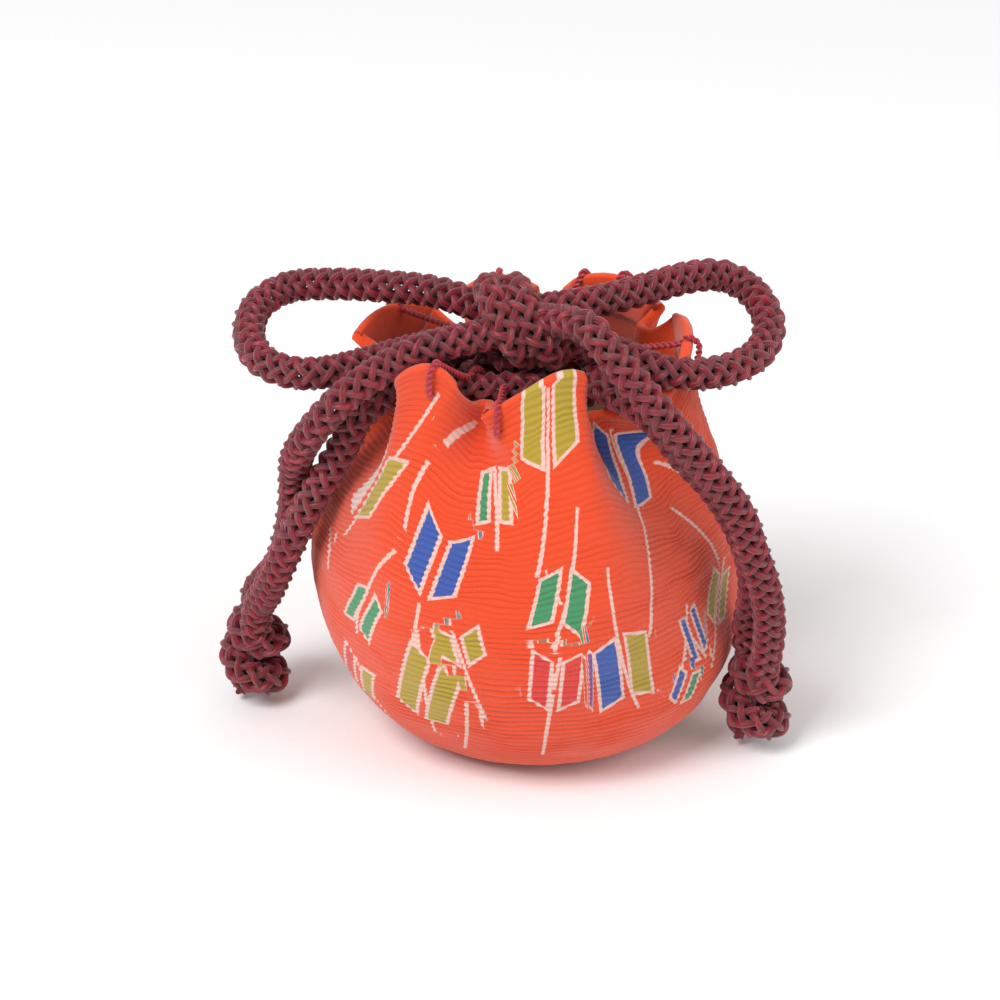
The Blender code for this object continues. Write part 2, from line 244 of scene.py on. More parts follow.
def use_group(tree: Tree, group: bpy.types.NodeTree, **values: Any) -> bpy.types.Node:
    """Add a group to a material.

    Args:
        tree: The material's tree.
        group: The group.
        **values: Its inputs by name, with underscores for spaces.

    Returns:
        The group's node.
    """
    node = tree.add("ShaderNodeGroup", node_tree=group)
    for name, value in values.items():
        tree.put(value, node.inputs[name.replace("_", " ")])
    return node


FLOAT, VECTOR, COLOUR = "NodeSocketFloat", "NodeSocketVector", "NodeSocketColor"


def print_group() -> bpy.types.NodeTree:
    """The print: pairs of feather vanes with pale outlines, and thin curved shafts.

    Returns:
        A group that turns the print's attributes into a colour and an ink mask.
    """
    inputs = (("Feather", VECTOR), ("Shape", VECTOR), ("Left", COLOUR), ("Right", COLOUR), ("Shaft", VECTOR))
    inputs += (("Curve", VECTOR), ("Shift", FLOAT), ("Ground", COLOUR), ("Pale", COLOUR))
    tree, given, leave = shared_group("feather_print", inputs, (("Color", COLOUR), ("Ink", FLOAT)))
    across, along, far = tree.split(given["Feather"])
    width, length, slope = tree.split(given["Shape"])
    across = tree.math("ADD", across, given["Shift"])
    side = tree.math("ABSOLUTE", across)
    beyond = tree.math("SUBTRACT", side, 0.00042)
    slant = tree.math("MULTIPLY", slope, beyond)
    upper = tree.math("SUBTRACT", tree.math("ADD", length, slant), along)
    lower = tree.math("SUBTRACT", tree.math("ADD", along, length), slant)
    edge = tree.math("MINIMUM", beyond, tree.math("SUBTRACT", width, side))
    edge = tree.math("MINIMUM", edge, tree.math("MINIMUM", upper, lower))
    near = tree.step(far, 1.25, 1.15)
    body = tree.math("MULTIPLY", tree.step(edge, -0.00005, 0.00006), near)
    fill = tree.math("MULTIPLY", tree.step(edge, 0.00042, 0.00054), near)
    aside, run, apart = tree.split(given["Shaft"])
    total, bow, _ = tree.split(given["Curve"])
    share = tree.math("DIVIDE", run, total)
    arch = tree.math("MULTIPLY", tree.math("MULTIPLY", share, tree.math("SUBTRACT", 1.0, share)), 4.0)
    bend = tree.math("MULTIPLY", arch, bow)
    off = tree.math("ABSOLUTE", tree.math("SUBTRACT", tree.math("ADD", aside, given["Shift"]), bend))
    ends = tree.math("MINIMUM", run, tree.math("SUBTRACT", total, run))
    line = tree.math("MULTIPLY", tree.step(off, 0.00029, 0.00018), tree.step(ends, 0.0, 0.0003))
    line = tree.math("MULTIPLY", line, tree.step(apart, 1.25, 1.15))
    pale = tree.math("MAXIMUM", body, line)
    dye = tree.mix(tree.math("GREATER_THAN", across, 0.0), given["Left"], given["Right"])
    colour = tree.mix(tree.math("MULTIPLY", pale, 0.9), given["Ground"], given["Pale"])
    tree.put(tree.mix(tree.math("MULTIPLY", fill, 0.96), colour, dye), leave.inputs["Color"])
    tree.put(pale, leave.inputs["Ink"])
    return tree.tree


def fibre_group() -> bpy.types.NodeTree:
    """Fine filaments that run along a strand, for the cord and the sewing thread.

    Returns:
        A group that turns the place on a strand into a tone and a bump height.
    """
    inputs = (("Along", FLOAT), ("Around", FLOAT), ("Filaments", FLOAT), ("Twist", FLOAT))
    tree, given, leave = shared_group("fibres", inputs, (("Tone", FLOAT), ("Height", FLOAT)))
    turn = tree.math("MULTIPLY", given["Along"], given["Twist"])
    round_it = tree.math("ADD", tree.math("MULTIPLY", given["Around"], given["Filaments"]), turn)
    place = tree.add("ShaderNodeCombineXYZ")
    tree.put(round_it, place.inputs[0])
    tree.put(tree.math("MULTIPLY", given["Along"], 260.0), place.inputs[1])
    noise = tree.add("ShaderNodeTexNoise")
    tree.put(place.outputs[0], noise.inputs["Vector"])
    noise.inputs["Scale"].default_value = 1.0
    noise.inputs["Detail"].default_value = 3.0
    tree.put(noise.outputs["Factor"] if "Factor" in noise.outputs else noise.outputs[0], leave.inputs["Tone"])
    ridge = tree.math("ABSOLUTE", tree.math("SINE", tree.math("MULTIPLY", round_it, math.pi)))
    tree.put(tree.math("ADD", ridge, noise.outputs[0]), leave.inputs["Height"])
    return tree.tree


@dataclass(frozen=True)
class Finish:
    """A finish: what every material here has in common."""

    name: str
    roughness: float
    sheen: float
    specular: float

    def start(self) -> tuple[bpy.types.Material, Tree, bpy.types.Node]:
        """Make the material with its Principled shader.

        Returns:
            The material, its tree and its shader node.
        """
        material = bpy.data.materials.new(self.name)
        material.use_nodes = True
        tree = Tree(material.node_tree)
        shader = material.node_tree.nodes["Principled BSDF"]
        shader.inputs["Roughness"].default_value = self.roughness
        shader.inputs["Sheen Weight"].default_value = self.sheen
        shader.inputs["Sheen Roughness"].default_value = 0.5
        shader.inputs["Specular IOR Level"].default_value = self.specular
        return material, tree, shader

    def bump(self, tree: Tree, height: Any, distance: float, strength: float) -> bpy.types.NodeSocket:
        """Add a bump.

        Args:
            tree: The material's tree.
            height: The height field.
            distance: What a height of 1 means, in metres.
            strength: The bump's strength.

        Returns:
            The bumped normal.
        """
        node = tree.add("ShaderNodeBump")
        node.inputs["Strength"].default_value = strength
        node.inputs["Distance"].default_value = distance
        tree.put(height, node.inputs["Height"])
        return node.outputs[0]


@dataclass(frozen=True)
class CrepeFinish(Finish):
    """Printed silk crepe with a cross ripple."""

    def build(self, print_tree: bpy.types.NodeTree) -> bpy.types.Material:
        """Make the crepe's material.

        Args:
            print_tree: The print's group.

        Returns:
            The material.
        """
        material, tree, shader = self.start()
        ripple = tree.named("ripple", "Fac")
        place = tree.add("ShaderNodeUVMap", uv_map="cloth").outputs[0]
        coarse = tree.add("ShaderNodeTexNoise")
        tree.put(tree.vector("SCALE", place, 420.0), coarse.inputs["Vector"])
        coarse.inputs["Detail"].default_value = 2.0
        jag = tree.math("MULTIPLY", tree.math("SUBTRACT", coarse.outputs[0], 0.5), 0.00036)
        shift = tree.math("ADD", jag, tree.math("MULTIPLY", ripple, 0.00005))
        names = {"Feather": "feather_place", "Shape": "feather_shape", "Shaft": "shaft_place"}
        given = {key: tree.named(name) for key, name in names.items()}
        given.update(Curve=tree.named("shaft_shape"), Shift=shift, Pale=(*Dye.OUTLINE.value, 1.0))
        given.update(Left=tree.named("dye_left", "Color"), Right=tree.named("dye_right", "Color"))
        # Painted shade and light: the base colour is darkened towards red-brown in the ripple's valleys and left light
        # on its crests.
        lift = tree.math("ADD", tree.math("MULTIPLY", ripple, 0.5), 0.5)
        given["Ground"] = (*Dye.GROUND.value, 1.0)
        printed = use_group(tree, print_tree, **given)
        fine = tree.add("ShaderNodeTexNoise")
        tree.put(tree.vector("MULTIPLY", place, (2600.0, 5200.0, 1.0)), fine.inputs["Vector"])
        fine.inputs["Detail"].default_value = 4.0
        deep = tree.math("SUBTRACT", 1.0, lift)
        shade = tree.add("ShaderNodeMix", data_type="RGBA", blend_type="MULTIPLY")
        tree.put(tree.math("MULTIPLY", deep, 0.55), shade.inputs[0])
        tree.put(printed.outputs["Color"], shade.inputs[6])
        shade.inputs[7].default_value = (0.72, 0.42, 0.36, 1.0)
        speck = tree.add("ShaderNodeMix", data_type="RGBA", blend_type="MULTIPLY")
        tree.put(tree.step(fine.outputs[0], 0.6, 0.35), speck.inputs[0])
        tree.put(shade.outputs[2], speck.inputs[6])
        speck.inputs[7].default_value = (0.86, 0.78, 0.76, 1.0)
        tree.put(speck.outputs[2], shader.inputs["Base Color"])
        height = tree.math("ADD", fine.outputs[0], tree.math("MULTIPLY", coarse.outputs[0], 0.8))
        tree.put(self.bump(tree, height, 0.00012, 0.7), shader.inputs["Normal"])
        return material


@dataclass(frozen=True)
class StrandFinish(Finish):
    """A braided or twisted strand of fine filaments."""

    # high and low: the strand's own red carried up to a painted highlight and down to a painted shade.
    high: Colour
    low: Colour
    filaments: float
    twist: float

    def build(self, fibres: bpy.types.NodeTree) -> bpy.types.Material:
        """Make the strand's material.

        Args:
            fibres: The filaments' group.

        Returns:
            The material.
        """
        material, tree, shader = self.start()
        along, around = tree.named("along", "Fac"), tree.named("around", "Fac")
        half = tree.math("ABSOLUTE", tree.math("SUBTRACT", around, 0.5))
        given = dict(Along=along, Around=half, Filaments=self.filaments, Twist=self.twist)
        fibre = use_group(tree, fibres, **given)
        tone = tree.step(fibre.outputs["Tone"], 0.3, 0.72)
        # Painted highlight and shade: the strand is lit where it rises over the braid and shaded where it dips under;
        # the fibre tone varies it at random.
        painted_crown_light = tree.named("painted_crown_light", "Fac")
        tone = tree.math("MULTIPLY", tree.math("ADD", tree.math("MULTIPLY", tone, 0.5), 0.5), painted_crown_light)
        tree.put(tree.mix(tone, self.low, self.high), shader.inputs["Base Color"])
        tree.put(self.bump(tree, fibre.outputs["Height"], 0.00006, 0.8), shader.inputs["Normal"])
        return material


@dataclass(frozen=True)
class PacketFinish(Finish):
    """The plain inner packet, seen only deep in the mouth."""

    def build(self) -> bpy.types.Material:
        """Make the packet's material.

        Returns:
            The material.
        """
        material, tree, shader = self.start()
        place = tree.add("ShaderNodeTexCoord").outputs["Object"]
        weave = tree.add("ShaderNodeTexNoise")
        tree.put(tree.vector("MULTIPLY", place, (1400.0, 1400.0, 3000.0)), weave.inputs["Vector"])
        tree.put(tree.mix(weave.outputs[0], (0.40, 0.30, 0.2), (0.66, 0.54, 0.4)), shader.inputs["Base Color"])
        tree.put(self.bump(tree, weave.outputs[0], 0.0001, 0.6), shader.inputs["Normal"])
        return material


@dataclass(frozen=True)
class FloorFinish(Finish):
    """The pale, plain table."""

    def build(self) -> bpy.types.Material:
        """Make the floor's material.

        Returns:
            The material.
        """
        material, tree, shader = self.start()
        place = tree.add("ShaderNodeTexCoord").outputs["Object"]
        grain = tree.add("ShaderNodeTexNoise")
        tree.put(tree.vector("SCALE", place, 300.0), grain.inputs["Vector"])
        tree.put(tree.mix(grain.outputs[0], (0.90, 0.90, 0.90), (0.93, 0.93, 0.93)), shader.inputs["Base Color"])
        return material


# Cords


def smooth_route(points: Sequence[Point], steps: int = 8) -> list[Vector]:
    """Read many points from one smooth curve through a route's points.

    Args:
        points: The route, in millimetres.
        steps: Points from one route point to the next.

    Returns:
        The curve's points, in metres.
    """
    line = [Vector(point) * MM for point in points]
    ends = [line[0] * 2.0 - line[1], *line, line[-1] * 2.0 - line[-2]]
    fine = []
    for before, start, end, after in zip(ends, ends[1:], ends[2:], ends[3:]):
        for step in range(steps):
            t = step / steps
            bend = before * 2.0 - start * 5.0 + end * 4.0 - after
            twist = -before + start * 3.0 - end * 3.0 + after
            fine.append(start + (end - before) * (t / 2.0) + bend * (t * t / 2.0) + twist * (t**3 / 2.0))
    return [*fine, line[-1]]


def spaced(line: Sequence[Vector], step: float) -> list[Vector]:
    """Place points evenly along a line.

    Args:
        line: The line's points.
        step: About how far apart the new points are, in metres.

    Returns:
        The new points, ends included.
    """
    along = [0.0]
    for start, end in zip(line, line[1:]):
        along.append(along[-1] + (end - start).length)
    count = max(2, round(along[-1] / step))
    placed, here = [], 0
    for number in range(count + 1):
        wanted = along[-1] * number / count
        while here < len(line) - 2 and along[here + 1] < wanted:
            here += 1
        share = (wanted - along[here]) / (along[here + 1] - along[here])
        placed.append(line[here].lerp(line[here + 1], min(share, 1.0)))
    return placed


def line_length(line: Sequence[Vector]) -> float:
    """Measure a line.

    Args:
        line: The line's points.

    Returns:
        Its length.
    """
    return sum((end - start).length for start, end in zip(line, line[1:]))


class StrandTree:
    """The geometry tree that lays strands round a path, plaited or twisted."""

    def __init__(self) -> None:
        """Build the tree."""
        group = bpy.data.node_groups.new("laid_strands", "GeometryNodeTree")
        face = group.interface
        face.new_socket("Geometry", in_out="INPUT", socket_type="NodeSocketGeometry")
        for name, kind in (("Strands", "Int"), ("Plait", "Float"), ("Radius", "Float"), ("Lead", "Float")):
            face.new_socket(name, in_out="INPUT", socket_type="NodeSocket" + kind)
        for name, kind in (("Wave", "Float"), ("Width", "Float"), ("Thickness", "Float"), ("Step", "Float")):
            face.new_socket(name, in_out="INPUT", socket_type="NodeSocket" + kind)
        face.new_socket("Material", in_out="INPUT", socket_type="NodeSocketMaterial")
        face.new_socket("Geometry", in_out="OUTPUT", socket_type="NodeSocketGeometry")
        self.group = group
        self.build(Tree(group))

    def store(self, tree: Tree, shape: Any, name: str, value: Any, kind: str) -> bpy.types.NodeSocket:
        """Keep a value on the points under a name.

        Args:
            tree: The tree.
            shape: The geometry.
            name: The attribute's name.
            value: The value.
            kind: Its data type.

        Returns:
            The geometry with the attribute.
        """
        node = tree.add("GeometryNodeStoreNamedAttribute", data_type=kind, domain="POINT")
        tree.put(shape, node.inputs["Geometry"])
        node.inputs["Name"].default_value = name
        tree.put(value, node.inputs["Value"])
        return node.outputs[0]

    def read(self, tree: Tree, name: str, kind: str) -> bpy.types.NodeSocket:
        """Read a named value back.

        Args:
            tree: The tree.
            name: The attribute's name.
            kind: Its data type.

        Returns:
            The value.
        """
        node = tree.add("GeometryNodeInputNamedAttribute", data_type=kind)
        node.inputs["Name"].default_value = name
        return node.outputs[0]

    def build(self, tree: Tree) -> None:
        """Fill the tree.

        Args:
            tree: The tree to fill.
        """
        given = {socket.name: socket for socket in tree.add("NodeGroupInput").outputs}
        even = tree.add("GeometryNodeResampleCurve", mode="LENGTH")
        tree.put(given["Geometry"], even.inputs["Curve"])
        tree.put(given["Step"], even.inputs["Length"])
        shape = self.store(tree, even.outputs[0], "side", tree.add("GeometryNodeInputNormal").outputs[0], "FLOAT_VECTOR")
        shape = self.store(tree, shape, "ahead", tree.add("GeometryNodeInputTangent").outputs[0], "FLOAT_VECTOR")
        shape = self.store(tree, shape, "along", tree.add("GeometryNodeSplineParameter").outputs["Length"], "FLOAT")
        copies = tree.add("GeometryNodeDuplicateElements", domain="SPLINE")
        tree.put(shape, copies.inputs["Geometry"])
        tree.put(given["Strands"], copies.inputs["Amount"])
        number = copies.outputs["Duplicate Index"]
        shape = self.store(tree, copies.outputs["Geometry"], "strand", number, "FLOAT")
        number, along = self.read(tree, "strand", "FLOAT"), self.read(tree, "along", "FLOAT")
        odd = tree.math("MULTIPLY", tree.math("MODULO", number, 2.0), given["Plait"])
        way = tree.math("SUBTRACT", 1.0, tree.math("MULTIPLY", odd, 2.0))
        layers = tree.math("ADD", given["Plait"], 1.0)
        each_way = tree.math("DIVIDE", given["Strands"], layers)
        turns = tree.math("DIVIDE", along, given["Lead"])
        place = tree.math("DIVIDE", tree.math("FLOOR", tree.math("DIVIDE", number, layers)), each_way)
        angle = tree.math("ADD", tree.math("MULTIPLY", turns, way), place)
        angle = tree.math("MULTIPLY", angle, math.tau)
        swell = tree.math("COSINE", tree.math("MULTIPLY", tree.math("MULTIPLY", turns, each_way), math.tau))
        swell = tree.math("MULTIPLY", swell, way)
        radial = tree.math("ADD", given["Radius"], tree.math("MULTIPLY", swell, given["Wave"]))
        side, ahead = self.read(tree, "side", "FLOAT_VECTOR"), self.read(tree, "ahead", "FLOAT_VECTOR")
        third = tree.vector("CROSS_PRODUCT", ahead, side)
        out = tree.vector(
            "ADD",
            tree.vector("SCALE", side, tree.math("COSINE", angle)),
            tree.vector("SCALE", third, tree.math("SINE", angle)),
        )
        moved = tree.add("GeometryNodeSetPosition")
        tree.put(self.store(tree, shape, "out", out, "FLOAT_VECTOR"), moved.inputs["Geometry"])
        out = self.read(tree, "out", "FLOAT_VECTOR")
        tree.put(tree.vector("SCALE", out, radial), moved.inputs["Offset"])
        normal = tree.add("GeometryNodeSetCurveNormal", mode="FREE")
        tree.put(moved.outputs[0], normal.inputs["Curve"])
        tree.put(out, normal.inputs["Normal"])
        # Painted light: this share, high where a strand rises over the braid and low where it dips under, only lightens
        # and darkens the strand's colour.
        lift = tree.math("ADD", tree.math("MULTIPLY", swell, 0.32), 0.68)
        shape = self.store(tree, normal.outputs[0], "painted_crown_light", lift, "FLOAT")
        ring = tree.add("GeometryNodeCurvePrimitiveCircle", mode="RADIUS")
        ring.inputs["Resolution"].default_value = 10
        ring.inputs["Radius"].default_value = 0.5
        turned = self.store(tree, ring.outputs["Curve"], "around", tree.add("GeometryNodeSplineParameter").outputs["Factor"], "FLOAT")
        size = tree.add("ShaderNodeCombineXYZ")
        tree.put(given["Width"], size.inputs[0])
        tree.put(given["Thickness"], size.inputs[1])
        size.inputs[2].default_value = 1.0
        flat = tree.add("GeometryNodeTransform")
        tree.put(turned, flat.inputs["Geometry"])
        tree.put(size.outputs[0], flat.inputs["Scale"])
        swept = tree.add("GeometryNodeCurveToMesh")
        tree.put(shape, swept.inputs["Curve"])
        tree.put(flat.outputs[0], swept.inputs["Profile Curve"])
        swept.inputs["Fill Caps"].default_value = True
        smooth = tree.add("GeometryNodeSetShadeSmooth")
        tree.put(swept.outputs[0], smooth.inputs["Geometry"])
        real = tree.add("GeometryNodeRealizeInstances")
        tree.put(smooth.outputs[0], real.inputs["Geometry"])
        dressed = tree.add("GeometryNodeSetMaterial")
        tree.put(real.outputs[0], dressed.inputs["Geometry"])
        tree.put(given["Material"], dressed.inputs["Material"])
        leave = tree.add("NodeGroupOutput")
        tree.put(dressed.outputs[0], leave.inputs[0])

    def lay(self, name: str, line: Sequence[Vector], material: bpy.types.Material, **values: Any) -> bpy.types.Object:
        """Lay strands round a line, as one mesh.

        Args:
            name: The new object's name.
            line: The line's points.
            material: The strands' material.
            **values: The tree's other inputs by name.

        Returns:
            The mesh object.
        """
        curve = bpy.data.curves.new(name + "_line", "CURVE")
        curve.dimensions = "3D"
        spline = curve.splines.new("POLY")
        spline.points.add(len(line) - 1)
        for point, place in zip(spline.points, line):
            point.co = (*place, 1.0)
        guide = bpy.data.objects.new(name + "_line", curve)
        bpy.context.scene.collection.objects.link(guide)
        modifier = guide.modifiers.new("strands", "NODES")
        modifier.node_group = self.group
        values["Material"] = material
        for socket in self.group.interface.items_tree:
            if socket.in_out == "INPUT" and socket.name in values:
                modifier[socket.identifier] = values[socket.name]
        graph = bpy.context.evaluated_depsgraph_get()
        mesh = bpy.data.meshes.new_from_object(guide.evaluated_get(graph), depsgraph=graph)
        bpy.data.objects.remove(guide)
        bpy.data.curves.remove(curve)
        mesh.name = name
        made = bpy.data.objects.new(name, mesh)
        bpy.context.scene.collection.objects.link(made)
        return made


ROUTES: dict[str, tuple[Point, ...]] = {
    "left_drawcord": (
        (-34.4, 0.4, 9.0), (-33.5, -1.6, 15.4), (-32.2, -4.4, 18.6), (-30.6, -7.4, 23.2),
        (-28.8, -9.4, 28.0), (-26.6, -10.0, 33.0), (-24.2, -9.5, 37.2), (-22.0, -9.0, 41.0),
        (-19.8, -9.2, 45.7), (-15.8, -7.8, 47.8), (-12.2, -7.0, 48.6), (-8.4, -7.4, 48.4),
        (-4.4, -7.5, 48.1), (-0.4, -7.0, 48.1), (3.4, -5.5, 46.9), (5.8, -3.0, 45.0),
        (6.8, 0.6, 44.2), (5.4, 4.4, 44.2), (1.8, 6.7, 44.2), (-2.8, 6.9, 44.2), (-6.6, 5.2, 44.4),
        (-7.0, 2.2, 45.2), (-4.9, 0.2, 46.8), (-3.6, -1.2, 52.0),
    ),
    "right_drawcord": (
        (28.6, -8.4, 9.0), (27.6, -7.6, 15.0), (27.9, -8.6, 19.0), (28.0, -10.2, 23.5),
        (27.2, -11.4, 28.0), (25.4, -12.6, 33.0), (22.6, -13.8, 38.0), (18.8, -14.2, 42.6),
        (15.0, -13.4, 47.3), (11.4, -11.2, 48.8), (9.0, -8.2, 49.0), (8.6, -4.2, 48.7),
        (8.6, -0.2, 48.4), (7.4, 3.6, 48.3), (4.4, 6.4, 48.3), (0.0, 7.2, 48.3), (-4.6, 6.9, 48.3),
        (-8.6, 5.0, 48.3), (-10.9, 1.6, 47.8), (-10.6, -2.0, 45.8), (-8.0, -4.9, 44.5),
        (-4.4, -5.9, 44.1), (-1.5, -4.9, 44.1), (0.1, -3.2, 44.9), (0.4, -2.0, 46.8), (0.2, -2.4, 52.0),
    ),
    "left_bow_loop": (
        (-2.6, -2.6, 55.6), (-10.8, 2.5, 56.4), (-18.1, 5.4, 56.0), (-24.4, 8.3, 55.0),
        (-29.4, 9.6, 54.0), (-33.1, 7.0, 52.6), (-33.9, 1.9, 51.2), (-32.2, -2.9, 50.0),
        (-28.4, -5.8, 49.5), (-23.8, -6.6, 49.9), (-17.8, -4.9, 50.8), (-12.0, -3.9, 52.0),
        (-3.0, -3.6, 53.8),
    ),
    "right_bow_loop": (
        (1.0, -2.8, 56.4), (8.6, -0.8, 56.8), (13.4, 1.7, 57.0), (20.0, 6.2, 57.0), (24.4, 8.2, 56.2),
        (27.9, 6.6, 54.6), (29.5, 2.2, 52.6), (28.2, -2.4, 50.8), (24.6, -5.8, 50.1),
        (20.0, -8.0, 50.4), (15.5, -8.2, 51.2), (10.6, -6.4, 52.6), (1.0, -4.0, 54.2),
    ),
    "left_tail": (
        (-2.6, -6.0, 55.2), (-11.2, -9.5, 54.6), (-15.6, -10.4, 52.9), (-19.8, -12.0, 50.7),
        (-23.2, -12.4, 47.6), (-26.0, -11.2, 43.6), (-27.6, -8.6, 39.8), (-28.2, -5.9, 36.2),
        (-28.5, -4.4, 31.6), (-29.3, -3.3, 26.6), (-30.7, -1.5, 21.4), (-32.8, 2.2, 17.0),
        (-34.3, 4.1, 14.0), (-34.4, 3.2, 9.0),
    ),
    "right_tail": (
        (0.6, -4.6, 56.2), (6.8, -11.2, 58.0), (9.6, -14.6, 56.2), (13.4, -17.0, 52.4),
        (18.0, -18.2, 47.0), (22.2, -17.8, 41.5), (25.4, -17.0, 36.5), (27.2, -16.2, 31.0),
        (28.9, -14.8, 25.5), (29.8, -13.0, 20.0), (29.8, -11.6, 15.2), (29.0, -10.2, 9.0),
    ),
}


@dataclass(frozen=True)
class Braid:
    """A round eight-strand braid."""

    diameter: float = 3.6 * MM
    strands: int = 8
    lead: float = 8.0 * MM
    wave: float = 0.2 * MM
    width: float = 1.42 * MM
    thickness: float = 0.86 * MM
    step: float = 0.22 * MM

    def values(self) -> dict[str, Any]:
        """List the tree's inputs.

        Returns:
            The inputs by name.
        """
        radius = self.diameter / 2.0 - self.thickness / 2.0 - self.wave * 0.6
        return {
            "Strands": self.strands,
            "Plait": 1.0,
            "Radius": radius,
            "Lead": self.lead,
            "Wave": self.wave,
            "Width": self.width,
            "Thickness": self.thickness,
            "Step": self.step,
        }


@dataclass
class Drawcords:
    """The braided cords with their bow and knots."""

    braid: Braid
    strands: StrandTree
    material: bpy.types.Material

    def cord(self, name: str, line: Sequence[Vector]) -> bpy.types.Object:
        """Make one cord's braid.

        Args:
            name: The cord's name, also its solid's.
            line: Its line.

        Returns:
            The cord.
        """
        made = self.strands.lay("braid_" + name, line, self.material, **self.braid.values())
        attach(made, ROOT)
        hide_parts(name)
        return made

    def knot(self, name: str, route: Sequence[Point]) -> bpy.types.Object:
        """Make a knot: the same braid, wound over itself.

        Args:
            name: The knot's name, also its solid's.
            route: The cord's route through the knot, in millimetres.

        Returns:
            The knot.
        """
        line = spaced(smooth_route(route), 0.6 * MM)
        made = self.strands.lay("tied_" + name, line, self.material, **self.braid.values())
        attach(made, ROOT)
        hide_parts(name)
        return made


def end_knot_route(centre: Point, half: Point, turn: float) -> list[Point]:
    """Wind a route into a small pulled knot with a short end below.

    Args:
        centre: The knot's centre, in millimetres.
        half: Its half sizes.
        turn: Where the winding starts, in degrees.

    Returns:
        The route, in millimetres.
    """
    cord = 1.75
    wide, deep, high = (size - cord for size in half)
    route = []
    turns, count = 2.3, 26
    for number in range(count + 1):
        share = number / count
        angle = math.radians(turn) + math.tau * turns * share
        rise = math.cos(math.pi * share)
        flat = math.sqrt(max(1.0 - (0.82 * rise) ** 2, 0.0))
        tilt = 0.38 * math.cos(angle - math.radians(turn))
        route.append((
            centre[0] + wide * flat * math.sin(angle),
            centre[1] - deep * flat * math.cos(angle),
            centre[2] + high * max(min(rise * 0.86 + tilt * 0.5 * flat, 1.0), -1.0),
        ))
    return route


def bow_knot_route(centre: Point, half: Point) -> list[Point]:
    """Wind a route round the middle of the bow.

    Args:
        centre: The knot's centre, in millimetres.
        half: Its half sizes.

    Returns:
        The route, in millimetres.
    """
    cord = 1.75
    wide, deep, high = (size - cord for size in half)
    route = []
    turns, count = 2.15, 30
    for number in range(count + 1):
        share = number / count
        angle = math.radians(150) + math.tau * turns * share
        shift = (share * 2.0 - 1.0) * wide
        lean = 1.7 * math.cos(angle)
        route.append((
            centre[0] + shift - lean,
            centre[1] - deep * math.sin(angle),
            centre[2] + high * math.cos(angle),
        ))
    return route


# The cloth


@dataclass(frozen=True)
class Pouch:
    """The filled bag's own sizes, in metres."""

    base_radius: float = 9.0 * MM
    belly_radius: float = 27.0 * MM
    belly_height: float = 21.5 * MM
    mouth_half_width: float = 20.4 * MM
    mouth_half_depth: float = 15.6 * MM
    mouth_height: float = 52.5 * MM
    mean_mouth: float = 18.0 * MM
    lean: float = 1.5 * MM
    flare: float = 1.4 * MM
    belly_roundness: float = 0.85
    shoulder_roundness: float = 1.4
    cloth: float = 0.9 * MM
    hem: float = 1.4 * MM
    hem_depth: float = 4.0 * MM


POUCH = Pouch()


@dataclass(frozen=True)
class Pleat:
    """One inward fold of the mouth, and the petal of cloth that follows it anticlockwise."""

    mouth_angle: float
    body_angle: float
    depth: float
    fold_from: float
    crease: float
    crease_from: float
    gape: float
    hem_height: float
    tip_height: float
    tip_skew: float


PLEATS = (
    Pleat(-19, -13, 5.0, 38, 0.0, 30, 0.6, 47.4, 53.4, 1.9),
    Pleat(42, 57, 5.2, 36, 2.6, 8, 4.4, 44.8, 52.4, 3.5),
    Pleat(110, 108, 3.4, 37, 0.9, 26, 0.8, 50.0, 54.0, 1.0),
    Pleat(163, 160, 4.4, 39, 0.3, 32, 0.8, 49.4, 53.0, 1.0),
    Pleat(210, 208, 4.6, 38, 0.6, 30, 0.8, 48.0, 50.6, 1.0),
    Pleat(257, 255, 5.0, 36, 0.9, 26, 0.8, 46.6, 47.6, 1.0),
    Pleat(300, 284, 5.4, 34, 1.2, 26, 5.0, 45.6, 53.6, 1.4),
)
TIP_FULLNESS = 0.6
BEND_FROM = 1.3
CREASE_RISE = 14.0 * MM
FLANK_AT_HEM = 1.3 * MM
FLANK_SPREAD = 0.62
PLEAT_SHARE = 0.42
FLANK_STEPS = (0.2, 0.5, 0.8, 1.0)
CREST_COLUMNS = 4


def blend(first: Any, second: Any, share: Any) -> Any:
    """Find the value the given share of the way from first to second.

    Args:
        first: The value at 0.
        second: The value at 1.
        share: The share, a number or an array.

    Returns:
        The value between.
    """
    return first + (second - first) * share


def eased(share: Any) -> Any:
    """Ease a share at both of its ends.

    Args:
        share: The share, cut to 0..1.

    Returns:
        The eased share.
    """
    share = np.clip(share, 0.0, 1.0)
    return share * share * (3.0 - 2.0 * share)


class ValueNoise:
    """Smooth value noise that closes round the pouch."""

    def __init__(self, seed: int, around: int, upward: int) -> None:
        """Draw the lattice.

        Args:
            seed: The seed.
            around: Cells round the pouch.
            upward: Cells from the base to the hem.
        """
        self.around, self.upward = around, upward
        self.lattice = np.random.default_rng(seed).uniform(-1.0, 1.0, (upward + 2, around))

    def at(self, angle: np.ndarray, share: np.ndarray) -> np.ndarray:
        """Read the noise.

        Args:
            angle: Angles round the pouch, in radians.
            share: Shares of the way up.

        Returns:
            The values, from -1 to 1.
        """
        x = (angle / math.tau) % 1.0 * self.around
        y = np.clip(share, 0.0, 0.9999) * self.upward
        left, low = np.floor(x).astype(int), np.floor(y).astype(int)
        fx, fy = eased(x - left), eased(y - low)
        left, right = left % self.around, (left + 1) % self.around
        lower = blend(self.lattice[low, left], self.lattice[low, right], fx)
        upper = blend(self.lattice[low + 1, left], self.lattice[low + 1, right], fx)
        return blend(lower, upper, fy)


